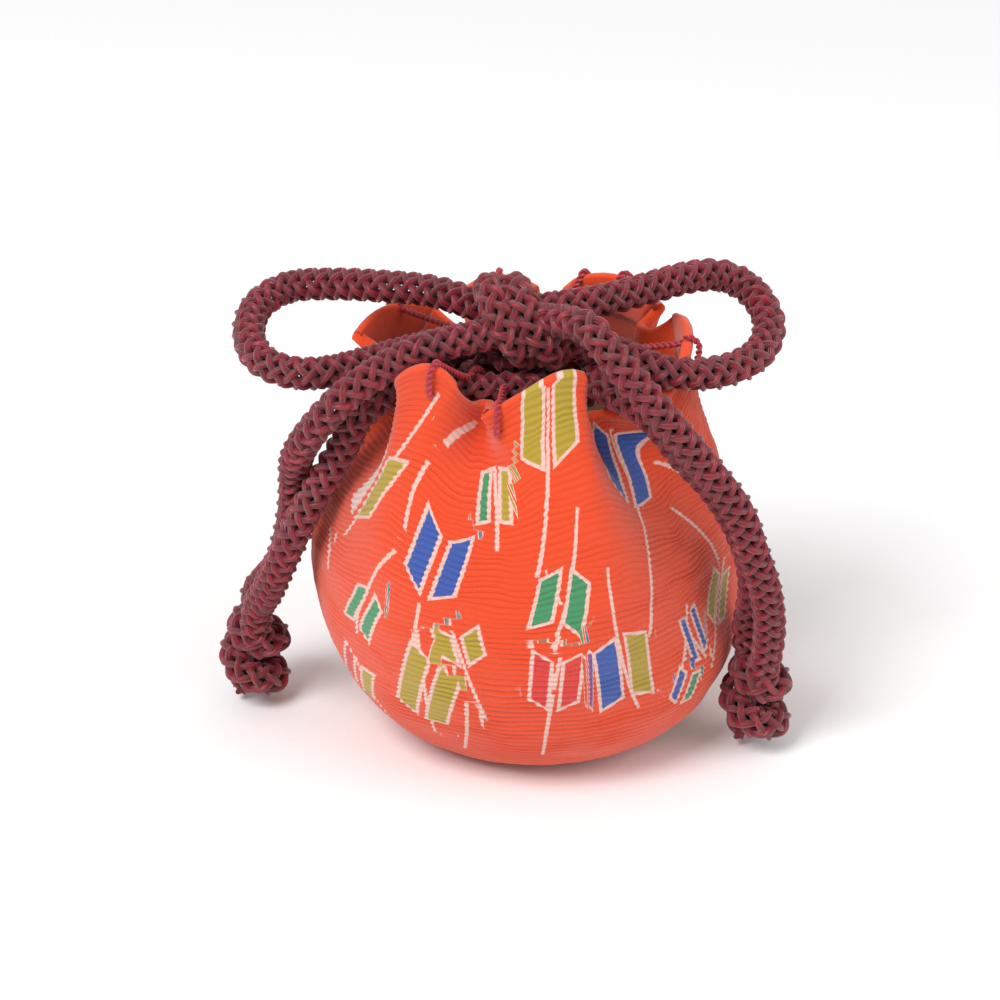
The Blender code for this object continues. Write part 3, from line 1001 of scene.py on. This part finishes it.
class Drape:
    """The gathered cloth's form: pleats, petals and the round body, as arrays over a grid."""

    def profile(self, level: np.ndarray) -> tuple[np.ndarray, np.ndarray]:
        """The mean outline of the pouch.

        Args:
            level: 0 at the base, 1 at the belly and 2 at the hem.

        Returns:
            Radius and height.
        """
        low = np.minimum(level, 1.0)
        rise = np.clip(level - 1.0, 0.0, 1.0)
        sine = np.sin(low * math.pi / 2.0) ** POUCH.belly_roundness
        shoulder = np.maximum(np.cos(rise * math.pi / 2.0), 0.0) ** POUCH.shoulder_roundness
        radius = np.where(level <= 1.0, blend(POUCH.base_radius, POUCH.belly_radius, sine),
                          blend(POUCH.mean_mouth, POUCH.belly_radius, shoulder))
        height = np.where(level <= 1.0, POUCH.belly_height * (1.0 - np.cos(low * math.pi / 2.0)),
                          blend(POUCH.belly_height, POUCH.mouth_height, rise))
        return radius, height

    def arc(self) -> tuple[np.ndarray, np.ndarray]:
        """Measure the mean outline.

        Returns:
            Levels, and the length of the outline up to each of them.
        """
        levels = np.linspace(0.0, 2.0, 4001)
        radius, height = self.profile(levels)
        steps = np.hypot(np.diff(radius), np.diff(height))
        return levels, np.concatenate([[0.0], np.cumsum(steps)])

    def floor_angle(self, pleat: Pleat, level: np.ndarray) -> np.ndarray:
        """The angle of a pleat's floor.

        Args:
            pleat: The pleat.
            level: The level.

        Returns:
            The angle in radians.
        """
        share = np.clip((level - BEND_FROM) / (2.0 - BEND_FROM), 0.0, 1.0) ** 2
        return np.radians(blend(pleat.body_angle, pleat.mouth_angle, share))

    def width(self, pleat: Pleat, level: np.ndarray) -> tuple[float, np.ndarray]:
        """The widths of a pleat.

        Args:
            pleat: The pleat.
            level: The level.

        Returns:
            Half the floor's width, and the width of each side.
        """
        below = (2.0 - level) * (POUCH.mouth_height - POUCH.belly_height)
        return pleat.gape * MM / 2.0, FLANK_AT_HEM + FLANK_SPREAD * below

    def depth(self, pleat: Pleat, height: np.ndarray) -> np.ndarray:
        """How deep a pleat's floor lies.

        Args:
            pleat: The pleat.
            height: The height.

        Returns:
            The depth.
        """
        crease = pleat.crease * MM * eased((height - pleat.crease_from * MM) / CREASE_RISE)
        fold = eased((height - pleat.fold_from * MM) / ((pleat.hem_height - pleat.fold_from) * MM))
        return blend(crease, pleat.depth * MM, fold)

    def columns(self, level: np.ndarray, finer: int) -> list[tuple]:
        """List the grid's columns.

        Args:
            level: The rows' levels.
            finer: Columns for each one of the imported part's.

        Returns:
            (angle, pleat, next pleat, share, width) of each column.
        """
        found = []
        for number, pleat in enumerate(PLEATS):
            following = PLEATS[(number + 1) % len(PLEATS)]
            start = self.floor_angle(pleat, level)
            width = (self.floor_angle(following, level) - start) % math.tau
            mouth = 1.0 / np.hypot(np.sin(start) / POUCH.mouth_half_width, np.cos(start) / POUCH.mouth_half_depth)
            radius = blend(POUCH.belly_radius, mouth, eased(level - 1.0))
            ends = []
            for side in (pleat, following):
                floor, flank = self.width(side, level)
                reach = np.minimum((floor + flank) / radius, PLEAT_SHARE * width)
                floor = np.minimum(floor / radius, reach * 0.6)
                ends.append([floor] + [blend(floor, reach, step) for step in FLANK_STEPS])
            offsets = [np.zeros_like(level)] + ends[0]
            inner, outer = ends[0][-1], width - ends[1][-1]
            for crest in range(1, CREST_COLUMNS + 1):
                offsets.append(blend(inner, outer, crest / (CREST_COLUMNS + 1)))
            offsets += [width - offset for offset in reversed(ends[1])] + [width]
            for left, right in zip(offsets, offsets[1:]):
                for part in range(finer):
                    offset = blend(left, right, part / finer)
                    found.append((start + offset, pleat, following, offset / width, width))
        return found

    def pull(self, pleat: Pleat, level: np.ndarray, distance: np.ndarray) -> np.ndarray:
        """The share of a pleat's depth that is left beside its floor.

        Args:
            pleat: The pleat.
            level: The level.
            distance: The distance from its middle line.

        Returns:
            The share.
        """
        floor, flank = self.width(pleat, level)
        beyond = np.clip((distance - floor) / flank, 0.0, 1.0)
        return 0.5 * (1.0 + np.cos(math.pi * beyond))

    def column(self, level: np.ndarray, column: tuple) -> tuple[np.ndarray, np.ndarray]:
        """Find one column of the outer face.

        Args:
            level: The rows' levels.
            column: The column.

        Returns:
            Radius and height of each row, before the lean.
        """
        angle, pleat, following, share, width = column
        radius, _ = self.profile(level)
        rise = np.clip(level - 1.0, 0.0, 1.0)
        mouth = 1.0 / np.hypot(np.sin(angle) / POUCH.mouth_half_width, np.cos(angle) / POUCH.mouth_half_depth)
        shoulder = np.maximum(np.cos(rise * math.pi / 2.0), 0.0) ** POUCH.shoulder_roundness
        flare = POUCH.flare * rise**8 * np.abs(np.sin(angle))
        radius = np.where(level <= 1.0, radius, blend(mouth, POUCH.belly_radius, shoulder) + flare)
        near = self.pull(pleat, level, radius * share * width)
        far = self.pull(following, level, radius * (1.0 - share) * width)
        low = blend(pleat.hem_height, following.hem_height, share) * MM
        lift = np.sin(math.pi * np.clip(share, 0.0, 1.0) ** pleat.tip_skew) ** TIP_FULLNESS
        top = blend(low, pleat.tip_height * MM, lift * (1.0 - np.maximum(near, far)))
        base = POUCH.belly_height * (1.0 - np.cos(np.minimum(level, 1.0) * math.pi / 2.0))
        height = np.where(level <= 1.0, base, blend(POUCH.belly_height, top, rise))
        pull = self.depth(pleat, height) * near + self.depth(following, height) * far
        return radius - pull, height

    def grid(self, levels: np.ndarray, finer: int) -> tuple[np.ndarray, np.ndarray]:
        """Lay out the outer face.

        Args:
            levels: The rows' levels.
            finer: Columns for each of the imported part's.

        Returns:
            Points (rows, columns, 3) and angles (rows, columns).
        """
        angles, points = [], []
        for column in self.columns(levels, finer):
            radius, height = self.column(levels, column)
            angle = column[0]
            lean = POUCH.lean * np.cos(math.pi * height / POUCH.mouth_height)
            points.append(np.stack([radius * np.sin(angle) + lean, -radius * np.cos(angle), height], axis=-1))
            angles.append(angle)
        return np.stack(points, axis=1), np.stack(angles, axis=1)


@dataclass(frozen=True)
class Feather:
    """One printed pair of vanes: its place on the cloth, its slant and its dyes."""

    angle: float
    up: float
    tilt: float
    half_width: float
    half_length: float
    slope: float
    left: Dye
    right: Dye


@dataclass(frozen=True)
class Shaft:
    """One thin printed line between two places (degrees, millimetres up the cloth)."""

    start: tuple[float, float]
    end: tuple[float, float]
    bow: float


W, B, G, O, R = Dye.WHITE, Dye.BLUE, Dye.GREEN, Dye.OLIVE, Dye.RED
FRONT_FEATHERS = (
    Feather(-51.9, 49.8, 31.1, 3.5, 4.4, 0.55, W, O),
    Feather(-24.8, 43.3, 13.5, 3.54, 4.45, 0.75, B, B),
    Feather(-7.8, 54.2, -1.1, 2.23, 3.29, -0.35, G, O),
    Feather(13.6, 59.3, 5.8, 3.77, 4.50, 0.65, O, O),
    Feather(47.7, 55.5, 18.5, 3.53, 5.47, 0.70, B, B),
    Feather(10.6, 40.5, 17.6, 3.38, 3.49, -0.60, G, G),
    Feather(-17.4, 32.5, -10.0, 3.30, 2.35, 0.60, O, O),
    Feather(-29.4, 25.0, 22.6, 3.76, 5.48, 0.40, O, O),
    Feather(6.2, 28.0, 8.1, 3.26, 3.78, 0.60, R, R),
    Feather(25.6, 29.3, -5.6, 4.14, 4.71, -0.35, B, O),
    Feather(-47.1, 34.3, 27.5, 2.70, 3.24, -0.50, G, G),
    Feather(-58.0, 22.0, 30.0, 3.0, 3.6, 0.50, R, O),
    Feather(54.1, 28.5, -17.0, 2.17, 3.62, 0.40, B, B),
    Feather(47.5, 22.1, 26.8, 2.54, 2.33, 0.40, B, G),
)
FRONT_SHAFTS = (
    Shaft((-59.9, 43.1), (-30.0, 62.0), 0.4),
    Shaft((-28.4, 38.3), (-32.2, 29.4), -0.11),
    Shaft((-6.8, 47.1), (-8.6, 57.7), 0.26),
    Shaft((4.1, 43.3), (14.7, 63.7), 0.60),
    Shaft((34.3, 31.7), (53.0, 61.6), 0.01),
    Shaft((6.1, 33.7), (19.1, 50.0), 0.33),
    Shaft((-12.8, 22.1), (-19.3, 35.7), 0.02),
    Shaft((-31.5, 17.0), (-28.5, 30.0), 0.1),
    Shaft((1.9, 15.2), (8.1, 32.5), -0.34),
    Shaft((30.3, 22.2), (24.5, 42.4), -1.49),
    Shaft((-50.9, 29.7), (-36.5, 43.2), -1.14),
    Shaft((-64.9, 36.8), (-69.2, 43.1), 0.21),
    Shaft((-52.2, 16.0), (-54.6, 25.8), -0.25),
    Shaft((58.2, 24.5), (49.6, 29.8), 0.25),
    Shaft((-34.6, 45.6), (-31.0, 54.3), -0.49),
    Shaft((-24.3, 13.8), (-17.6, 25.4), 0.48),
    Shaft((70.0, 50.7), (61.6, 55.2), 0.36),
    Shaft((74.0, 32.1), (59.5, 48.5), 1.19),
    Shaft((45.5, 24.5), (52.2, 33.7), 0.47),
    Shaft((-27.9, 56.8), (-20.7, 62.0), -0.09),
)


def back_print(seed: int) -> tuple[list[Feather], list[Shaft]]:
    """Scatter the same kinds of motif round the back, which the photo doesn't show.

    Args:
        seed: The seed of the scatter.

    Returns:
        The feathers and the shafts.
    """
    draw = np.random.default_rng(seed)
    pairs = ((B, B), (G, G), (O, O), (R, R), (W, O), (B, O), (O, O), (G, O))
    feathers, shafts = [], []
    for row, up in enumerate((9.0, 20.0, 31.0, 42.0, 53.5)):
        count = (7, 9, 9, 8, 7)[row]
        for number in range(count):
            angle = 72.0 + 208.0 * (number + 0.5 * (row % 2)) / count + draw.uniform(-3.0, 3.0)
            high = up + draw.uniform(-2.0, 2.0)
            if not 70.0 < angle < 285.0:
                continue
            tilt = draw.uniform(-32.0, 32.0)
            left, right = pairs[draw.integers(len(pairs))]
            slope = draw.choice((-0.5, 0.45, 0.65))
            wide, tall = draw.uniform(2.7, 3.8), draw.uniform(3.0, 4.8)
            feathers.append(Feather(angle, high, tilt, wide, tall, slope, left, right))
            reach = tall + draw.uniform(3.0, 6.5)
            turn = math.radians(tilt)
            across = math.degrees(math.sin(turn) * reach / 24.0)
            rise = math.cos(turn) * reach
            start, end = (angle - across * 0.9, high - rise * 0.9), (angle + across * 0.6, high + rise * 0.6)
            shafts.append(Shaft(start, end, draw.uniform(-0.9, 0.9)))
    return feathers, shafts


class PrintPlan:
    """Lays the print on the cloth: for each point, the nearest feather and shaft."""

    def __init__(self, drape: Drape) -> None:
        """Measure the cloth.

        Args:
            drape: The cloth's form.
        """
        levels, arcs = drape.arc()
        radius, _ = drape.profile(levels)
        self.arcs, self.radii = arcs, radius

    def radius_at(self, up: float) -> float:
        """The mean radius at a place up the cloth.

        Args:
            up: The place, in metres.

        Returns:
            The radius.
        """
        return float(np.interp(up, self.arcs, self.radii))

    def feathers(self, angle: np.ndarray, up: np.ndarray, plan: Sequence[Feather]) -> dict[str, np.ndarray]:
        """Work out the feather fields.

        Args:
            angle: Each point's angle.
            up: Each point's place up the cloth.
            plan: The feathers.

        Returns:
            The attributes by name.
        """
        best = np.full(angle.shape, 9.0)
        fields = {
            "feather_place": np.zeros((angle.size, 3)),
            "feather_shape": np.full((angle.size, 3), 0.001),
            "dye_left": np.zeros((angle.size, 3)),
            "dye_right": np.zeros((angle.size, 3)),
        }
        fields["feather_place"][:, 2] = 9.0
        for feather in plan:
            around = self.radius_at(feather.up * MM)
            x = np.arctan2(np.sin(angle - math.radians(feather.angle)), np.cos(angle - math.radians(feather.angle)))
            x, y = x * around, up - feather.up * MM
            turn = math.radians(feather.tilt)
            across = x * math.cos(turn) - y * math.sin(turn)
            along = x * math.sin(turn) + y * math.cos(turn)
            wide, tall = feather.half_width * MM, feather.half_length * MM
            reach = tall + abs(feather.slope) * wide
            far = np.maximum(np.abs(across) / wide, np.abs(along) / reach)
            near = far < best
            best = np.where(near, far, best)
            fields["feather_place"][near] = np.stack([across, along, far], axis=-1)[near]
            fields["feather_shape"][near] = (wide, tall, feather.slope)
            fields["dye_left"][near] = feather.left.value
            fields["dye_right"][near] = feather.right.value
        return fields

    def shafts(self, angle: np.ndarray, up: np.ndarray, plan: Sequence[Shaft]) -> dict[str, np.ndarray]:
        """Work out the shaft fields.

        Args:
            angle: Each point's angle.
            up: Each point's place up the cloth.
            plan: The shafts.

        Returns:
            The attributes by name.
        """
        best = np.full(angle.shape, 9.0)
        fields = {"shaft_place": np.zeros((angle.size, 3)), "shaft_shape": np.full((angle.size, 3), 0.001)}
        fields["shaft_place"][:, 2] = 9.0
        for shaft in plan:
            middle = (shaft.start[1] + shaft.end[1]) / 2.0 * MM
            around = self.radius_at(middle)
            x = np.arctan2(np.sin(angle - math.radians(shaft.start[0])), np.cos(angle - math.radians(shaft.start[0])))
            x, y = x * around, up - shaft.start[1] * MM
            ex = math.radians(shaft.end[0] - shaft.start[0]) * around
            ey = (shaft.end[1] - shaft.start[1]) * MM
            length = math.hypot(ex, ey)
            along = (x * ex + y * ey) / length
            across = (x * ey - y * ex) / length
            share = along / length
            bend = 4.0 * shaft.bow * MM * share * (1.0 - share)
            far = np.maximum(np.abs(across - bend) / (0.9 * MM), np.abs(share - 0.5) / (0.5 + 0.3 * MM / length))
            near = far < best
            best = np.where(near, far, best)
            fields["shaft_place"][near] = np.stack([across, along, far], axis=-1)[near]
            fields["shaft_shape"][near] = (length, shaft.bow * MM, 0.0)
        return fields


@dataclass
class CrepeCloth:
    """The pouch's own cloth, with the crepe's ripple in its form."""

    drape: Drape
    pitch: float = 0.78 * MM
    ripple: float = 0.13 * MM
    finer: int = 2

    def rows(self) -> tuple[np.ndarray, np.ndarray, np.ndarray]:
        """Space the rows so that each ridge has four of them.

        Returns:
            Levels, places up the cloth and the phase of each row.
        """
        levels, arcs = self.drape.arc()
        count = int(round(arcs[-1] / (self.pitch / 4.0)))
        up = np.linspace(0.0, arcs[-1], count + 1)
        phase = np.arange(count + 1) % 4
        return np.interp(up, arcs, levels), up, phase

    def normals(self, points: np.ndarray) -> np.ndarray:
        """Find the outward direction at each point of a ring-closed grid.

        Args:
            points: The grid.

        Returns:
            Unit directions.
        """
        around = np.roll(points, -1, axis=1) - np.roll(points, 1, axis=1)
        upward = np.gradient(points, axis=0)
        out = np.cross(around, upward)
        return out / np.maximum(np.linalg.norm(out, axis=-1, keepdims=True), 1e-12)

    def faces(self, rows: int, count: int, first: int, flip: bool) -> np.ndarray:
        """List the quads of a grid that is closed round.

        Args:
            rows: Rows of points.
            count: Points in a row.
            first: The first point's number.
            flip: Whether they face the other way.

        Returns:
            The quads.
        """
        row, column = np.meshgrid(np.arange(rows - 1), np.arange(count), indexing="ij")
        there = (column + 1) % count
        quads = np.stack([row * count + column, row * count + there, (row + 1) * count + there, (row + 1) * count + column], axis=-1)
        quads = quads.reshape(-1, 4) + first
        return quads[:, ::-1] if flip else quads

    def relief(self, angle: np.ndarray, up: np.ndarray, total: float, phase: np.ndarray) -> tuple[np.ndarray, np.ndarray, np.ndarray]:
        """Work out the ripple.

        Args:
            angle: The grid's angles.
            up: The rows' places.
            total: The cloth's length from base to hem.
            phase: The rows' phase.

        Returns:
            The lift of each point, its move along the cloth and its ripple from -1 to 1.
        """
        share = (up / total)[:, None] + np.zeros_like(angle)
        wave = np.array([-1.0, 0.0, 1.0, 0.0])[phase][:, None]
        strength = 0.72 + 0.38 * ValueNoise(11, 34, 30).at(angle, share) + 0.2 * ValueNoise(12, 90, 60).at(angle, share)
        strength = np.clip(strength, 0.15, 1.25)
        ends = eased(up / (2.0 * MM)) * eased((total - up) / (0.9 * MM))
        ripple = wave * strength
        dents = ValueNoise(13, 16, 14).at(angle, share) * 0.2 * MM + ValueNoise(14, 40, 34).at(angle, share) * 0.07 * MM
        lift = (ripple * self.ripple + dents * eased((total - up) / (6.0 * MM))[:, None]) * ends[:, None]
        warp = ValueNoise(15, 44, 20).at(angle, share) * 0.36 * MM + ValueNoise(16, 110, 50).at(angle, share) * 0.14 * MM
        return lift, warp * ends[:, None], ripple

    def build(self) -> bpy.types.Object:
        """Make the cloth.

        Returns:
            The cloth's object, without its material.
        """
        levels, up, phase = self.rows()
        plain, angle = self.drape.grid(levels, self.finer)
        lift, warp, ripple = self.relief(angle, up, up[-1], phase)
        normal = self.normals(plain)
        upward = np.gradient(plain, axis=0)
        upward /= np.linalg.norm(upward, axis=-1, keepdims=True)
        outer = plain + normal * lift[..., None] + upward * warp[..., None]
        place = up[:, None] + warp
        keep = np.concatenate([np.arange(0, len(levels) - 26, 8), np.arange(len(levels) - 26, len(levels), 2), [len(levels) - 1]])
        keep = np.unique(keep)
        below = (up[-1] - up[keep])[:, None, None]
        thick = blend(POUCH.hem, POUCH.cloth, eased((below - POUCH.hem_depth) / MM))
        tilt = np.clip(1.0 - levels[keep], 0.0, 1.0)[:, None, None]
        inward = -normal[keep] * (1.0 + 0.0 * tilt)
        inner = plain[keep] + inward * thick
        inner[0, :, 2] = POUCH.cloth
        rim = self.rim(outer[-1], inner[-1], normal[-1])
        grid = [outer.reshape(-1, 3), rim.reshape(-1, 3), inner[::-1].reshape(-1, 3)]
        count = outer.shape[1]
        points = np.concatenate(grid)
        total_rows = len(points) // count
        quads = self.faces(total_rows, count, 0, False)
        bottom, top = len(points), len(points) + 1
        middle = points[:count].mean(axis=0), points[-count:].mean(axis=0)
        points = np.concatenate([points, [middle[0]], [middle[1]]])
        last = (total_rows - 1) * count
        ends = [(bottom, (here + 1) % count, here) for here in range(count)]
        ends += [(top, last + here, last + (here + 1) % count) for here in range(count)]
        mesh = bpy.data.meshes.new("crepe_pouch")
        mesh.from_pydata([tuple(p) for p in points], [], [tuple(q) for q in quads] + ends)
        mesh.validate()
        mesh.shade_smooth()
        rim_rows = len(rim)
        up_all = np.concatenate([place, np.full((rim_rows, count), up[-1]), (2.0 * up[-1] - place[keep])[::-1]])
        angle_all = np.concatenate([angle, np.repeat(angle[-1:], rim_rows, axis=0), angle[keep][::-1]])
        # The rim's ripple of 0.6 paints the hem's fold light, as a lit crest, and the inner face takes 0.
        ripple_all = np.concatenate([ripple, np.full((rim_rows, count), 0.6), np.zeros((len(keep), count))])
        self.mark(mesh, angle_all.reshape(-1), up_all.reshape(-1), ripple_all.reshape(-1), up[-1])
        made = bpy.data.objects.new("crepe_pouch", mesh)
        bpy.context.scene.collection.objects.link(made)
        return made

    def rim(self, outer: np.ndarray, inner: np.ndarray, normal: np.ndarray) -> np.ndarray:
        """Round the hem's fold from the outer face to the inner.

        Args:
            outer: The outer edge.
            inner: The inner edge.
            normal: The outward directions; not used.

        Returns:
            The rows between them.
        """
        middle = (outer + inner) / 2.0
        half = np.linalg.norm(outer - inner, axis=-1, keepdims=True) / 2.0
        side = (outer - inner) / (2.0 * half)
        rise = np.array([0.0, 0.0, 1.0]) + np.zeros_like(side)
        turns = np.radians([30.0, 60.0, 90.0, 120.0, 150.0])
        return np.stack([middle + half * (side * math.cos(t) + rise * math.sin(t) * 0.75) for t in turns])

    def mark(self, mesh: bpy.types.Mesh, angle: np.ndarray, up: np.ndarray, ripple: np.ndarray, total: float) -> None:
        """Store the print's and the ripple's fields on the mesh.

        Args:
            mesh: The cloth's mesh.
            angle: Each grid point's angle.
            up: Its place up the cloth, and down again inside.
            ripple: Its ripple.
            total: The length from base to hem.
        """
        plan = PrintPlan(self.drape)
        feathers, shafts = back_print(7)
        folded = (up > total).astype(float)
        fields = plan.feathers(angle, up, [*FRONT_FEATHERS, *feathers])
        fields.update(plan.shafts(angle, up, [*FRONT_SHAFTS, *shafts]))
        extra = len(mesh.vertices) - len(angle)
        for name, values in fields.items():
            kind = "FLOAT_COLOR" if name.startswith("dye") else "FLOAT_VECTOR"
            if name.startswith("dye"):
                values = np.concatenate([values, np.ones((len(values), 1))], axis=1)
            values = np.concatenate([values, np.repeat(values[-1:], extra, axis=0)])
            layer = mesh.attributes.new(name, kind, "POINT")
            layer.data.foreach_set("color" if kind == "FLOAT_COLOR" else "vector", values.astype(np.float32).ravel())
        for name, values in (("ripple", ripple), ("inside", folded)):
            layer = mesh.attributes.new(name, "FLOAT", "POINT")
            layer.data.foreach_set("value", np.concatenate([values, np.zeros(extra)]).astype(np.float32))
        corners = np.zeros(len(mesh.loops), dtype=np.int32)
        mesh.loops.foreach_get("vertex_index", corners)
        flat = np.concatenate([np.stack([np.unwrap(angle) * 0.0 + angle, up], axis=-1), np.zeros((extra, 2))])
        flat[:, 0] *= POUCH.belly_radius
        layer = mesh.uv_layers.new(name="cloth")
        layer.data.foreach_set("uv", flat[corners].astype(np.float32).ravel())


def dress_cloth() -> None:
    """Make the printed crepe pouch and put it in place of the imported cloth."""
    cloth = CrepeCloth(Drape()).build()
    finish = CrepeFinish("printed_crepe", 0.72, 0.35, 0.25)
    cloth.data.materials.append(finish.build(print_group()))
    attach(cloth, ROOT)
    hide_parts("pouch_cloth")
    LOG.info("cloth: %d faces", len(cloth.data.polygons))


def outer_place(angle: float, below: float) -> Vector:
    """A point on the outside of the hem.

    Args:
        angle: The angle, in radians.
        below: How far below the edge, in metres.

    Returns:
        The point.
    """
    drape = Drape()
    level = np.array([2.0 - below / (POUCH.mouth_height - POUCH.belly_height)])
    for number, pleat in enumerate(PLEATS):
        following = PLEATS[(number + 1) % len(PLEATS)]
        start = math.radians(pleat.mouth_angle)
        width = (math.radians(following.mouth_angle) - start) % math.tau
        share = ((angle - start) % math.tau) / width
        if share <= 1.0:
            column = (np.array([angle]), pleat, following, np.array([share]), np.array([width]))
            radius, height = (float(value[0]) for value in drape.column(level, column))
            lean = POUCH.lean * math.cos(math.pi * height / POUCH.mouth_height)
            return Vector((radius * math.sin(angle) + lean, -radius * math.cos(angle), height))
    raise ValueError("no petal holds this angle")


@dataclass(frozen=True)
class Tack:
    """One doubled thread that ties the hem to a drawcord."""

    angle: float
    cord: str
    turns: tuple[float, ...]


OVER, FRONT = (55.0, 97.0, 139.0, 180.0), (30.0, -5.0, -40.0)
TACKS = (
    Tack(-33, "left_drawcord", OVER),
    Tack(-7, "left_drawcord", FRONT),
    Tack(86, "right_drawcord", OVER),
    Tack(132, "right_drawcord", OVER),
    Tack(149, "right_drawcord", OVER),
    Tack(187, "right_drawcord", OVER),
    Tack(232, "right_drawcord", OVER),
)
THREAD = 0.8 * MM
UPPER_TURN = 46.8 * MM
TACK_OFF = 0.25 * MM


def tack_line(tack: Tack, cords: dict[str, list[Vector]]) -> list[Vector]:
    """Lead a tack up the outside of the hem, over its edge and round the cord inside it.

    Args:
        tack: The tack.
        cords: Each cord's line.

    Returns:
        The thread's line.
    """
    angle = math.radians(tack.angle)
    out = Vector((math.sin(angle), -math.cos(angle), 0.0))
    up = Vector((0.0, 0.0, 1.0))
    off = TACK_OFF + THREAD / 2.0
    edge = outer_place(angle, 0.0)
    inside = [
        p for p in spaced(cords[tack.cord], 0.4 * MM)
        if p.z > UPPER_TURN and math.hypot(p.x + POUCH.lean, p.y) < POUCH.mouth_half_depth
    ]
    held = min(inside, key=lambda p: abs(math.remainder(math.atan2(p.x + POUCH.lean, -p.y) - angle, math.tau)))
    beside = Braid.diameter / 2.0 + off
    line = [
        outer_place(angle, 2.9 * MM) - out * 0.5 * MM,
        outer_place(angle, 2.4 * MM) + out * off,
        edge + out * off,
        edge - out * (POUCH.hem / 2.0) + up * off * 1.5,
        edge - out * (POUCH.hem + off),
    ]
    for turn in tack.turns:
        slant = math.radians(turn)
        line.append(held + (out * math.cos(slant) + up * math.sin(slant)) * beside)
    return smooth_route([tuple(place / MM) for place in line], 6)


def sew_tacks(strands: StrandTree, material: bpy.types.Material, cords: dict[str, list[Vector]]) -> None:
    """Sew the thread tacks that hold the hem to the drawcords.

    Args:
        strands: The strands' tree.
        material: The thread's material.
        cords: Each cord's line.
    """
    values = {"Strands": 2, "Plait": 0.0, "Radius": 0.2 * MM, "Lead": 1.5 * MM, "Wave": 0.0}
    values.update({"Width": 0.46 * MM, "Thickness": 0.4 * MM, "Step": 0.12 * MM})
    for number, tack in enumerate(TACKS, start=1):
        name = f"thread_tack_{number}"
        made = strands.lay(f"stitch_{number}", tack_line(tack, cords), material, **values)
        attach(made, ROOT)
        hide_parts(name)
        LOG.info("%s: %d faces", made.name, len(made.data.polygons))



# Scene


def make_camera() -> bpy.types.Object:
    """Place the camera where the photo was taken from.

    Returns:
        The camera.
    """
    camera = bpy.data.objects.new("camera", bpy.data.cameras.new("camera"))
    bpy.context.scene.collection.objects.link(camera)
    camera.data.sensor_width = 36.0
    camera.data.lens = 126.4
    camera.data.clip_start = 0.01
    camera.location = (0.0, -0.38971, 0.225)
    camera.rotation_euler = (math.radians(90.0 - 30.0 + 3.36), 0.0, math.radians(0.47))
    bpy.context.scene.camera = camera
    return camera


def make_light(name: str, place: Point, size: float, power: float, colour: Colour = (1.0, 1.0, 1.0)) -> None:
    """Place a soft square light that faces the object.

    Args:
        name: The light's name.
        place: Where it stands.
        size: Its width.
        power: Its power in watts.
        colour: Its colour.
    """
    light = bpy.data.objects.new(name, bpy.data.lights.new(name, "AREA"))
    light.data.size = size
    light.data.energy = power
    light.data.color = colour
    light.location = place
    toward = Vector((0.0, 0.0, 0.03)) - Vector(place)
    light.rotation_euler = toward.to_track_quat("-Z", "Y").to_euler()
    bpy.context.scene.collection.objects.link(light)


def make_stage(material: bpy.types.Material) -> None:
    """Make the table, the sky and the lights.

    Args:
        material: The table's material.
    """
    mesh = bpy.data.meshes.new("table")
    half = 3.0
    mesh.from_pydata([(-half, -half, 0), (half, -half, 0), (half, half, 0), (-half, half, 0)], [], [(0, 1, 2, 3)])
    mesh.materials.append(material)
    table = bpy.data.objects.new("table", mesh)
    bpy.context.scene.collection.objects.link(table)
    world = bpy.data.worlds.new("studio")
    world.use_nodes = True
    sky = world.node_tree.nodes["Background"]
    sky.inputs["Color"].default_value = (1.0, 1.0, 1.0, 1.0)
    sky.inputs["Strength"].default_value = 0.62
    bpy.context.scene.world = world
    make_light("key", (-0.45, -0.55, 0.85), 0.5, 9.0)
    make_light("fill", (0.7, -0.35, 0.5), 0.6, 2.2)
    bpy.context.scene.view_settings.view_transform = "Standard"


def main() -> None:
    """Dress every piece."""
    logging.basicConfig(level=logging.INFO, format="%(message)s")
    make_camera()
    fibres = fibre_group()
    # The two colours of the cord and of the thread are their red as a painted highlight and as a painted shade.
    cord_look = StrandFinish("cord", 0.42, 0.25, 0.5, linear(150, 22, 44), linear(30, 3, 14), 9.0, 900.0)
    thread_look = StrandFinish("thread", 0.4, 0.3, 0.5, linear(222, 34, 62), linear(130, 8, 30), 5.0, 2600.0)
    strands = StrandTree()
    cords = Drawcords(Braid(), strands, cord_look.build(fibres))
    lines = {name: spaced(smooth_route(route), 0.9 * MM) for name, route in ROUTES.items()}
    knots = {
        "left_end_knot": cords.knot("left_end_knot", end_knot_route((-34.3, 1.9, 6.7), (4.5, 4.5, 6.4), 200)),
        "right_end_knot": cords.knot("right_end_knot", end_knot_route((28.9, -9.2, 6.9), (4.5, 4.5, 6.4), 200)),
        "bow_knot": cords.knot("bow_knot", bow_knot_route((-1.2, -3.6, 55.3), (5.0, 6.0, 5.6))),
    }
    for name, line in lines.items():
        piece = cords.cord(name, line)
        loop = name.endswith("loop")
        from_bow = name.endswith("tail") or loop
        with_pieces = [] if loop or from_bow else [knots[name.split("_")[0] + "_end_knot"]]
        if name == "left_bow_loop":
            with_pieces = [knots["bow_knot"]]
        LOG.info("cord %s: %.1f mm, %d faces", name, line_length(line) / MM, len(piece.data.polygons))
    dress_cloth()
    sew_tacks(strands, thread_look.build(fibres), lines)
    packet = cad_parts["scent_packet"]
    packet.data.materials.clear()
    packet.data.materials.append(PacketFinish("packet_cloth", 0.9, 0.1, 0.3).build())
    make_stage(FloorFinish("table_top", 0.8, 0.0, 0.2).build())


if __name__ == "__main__":
    main()
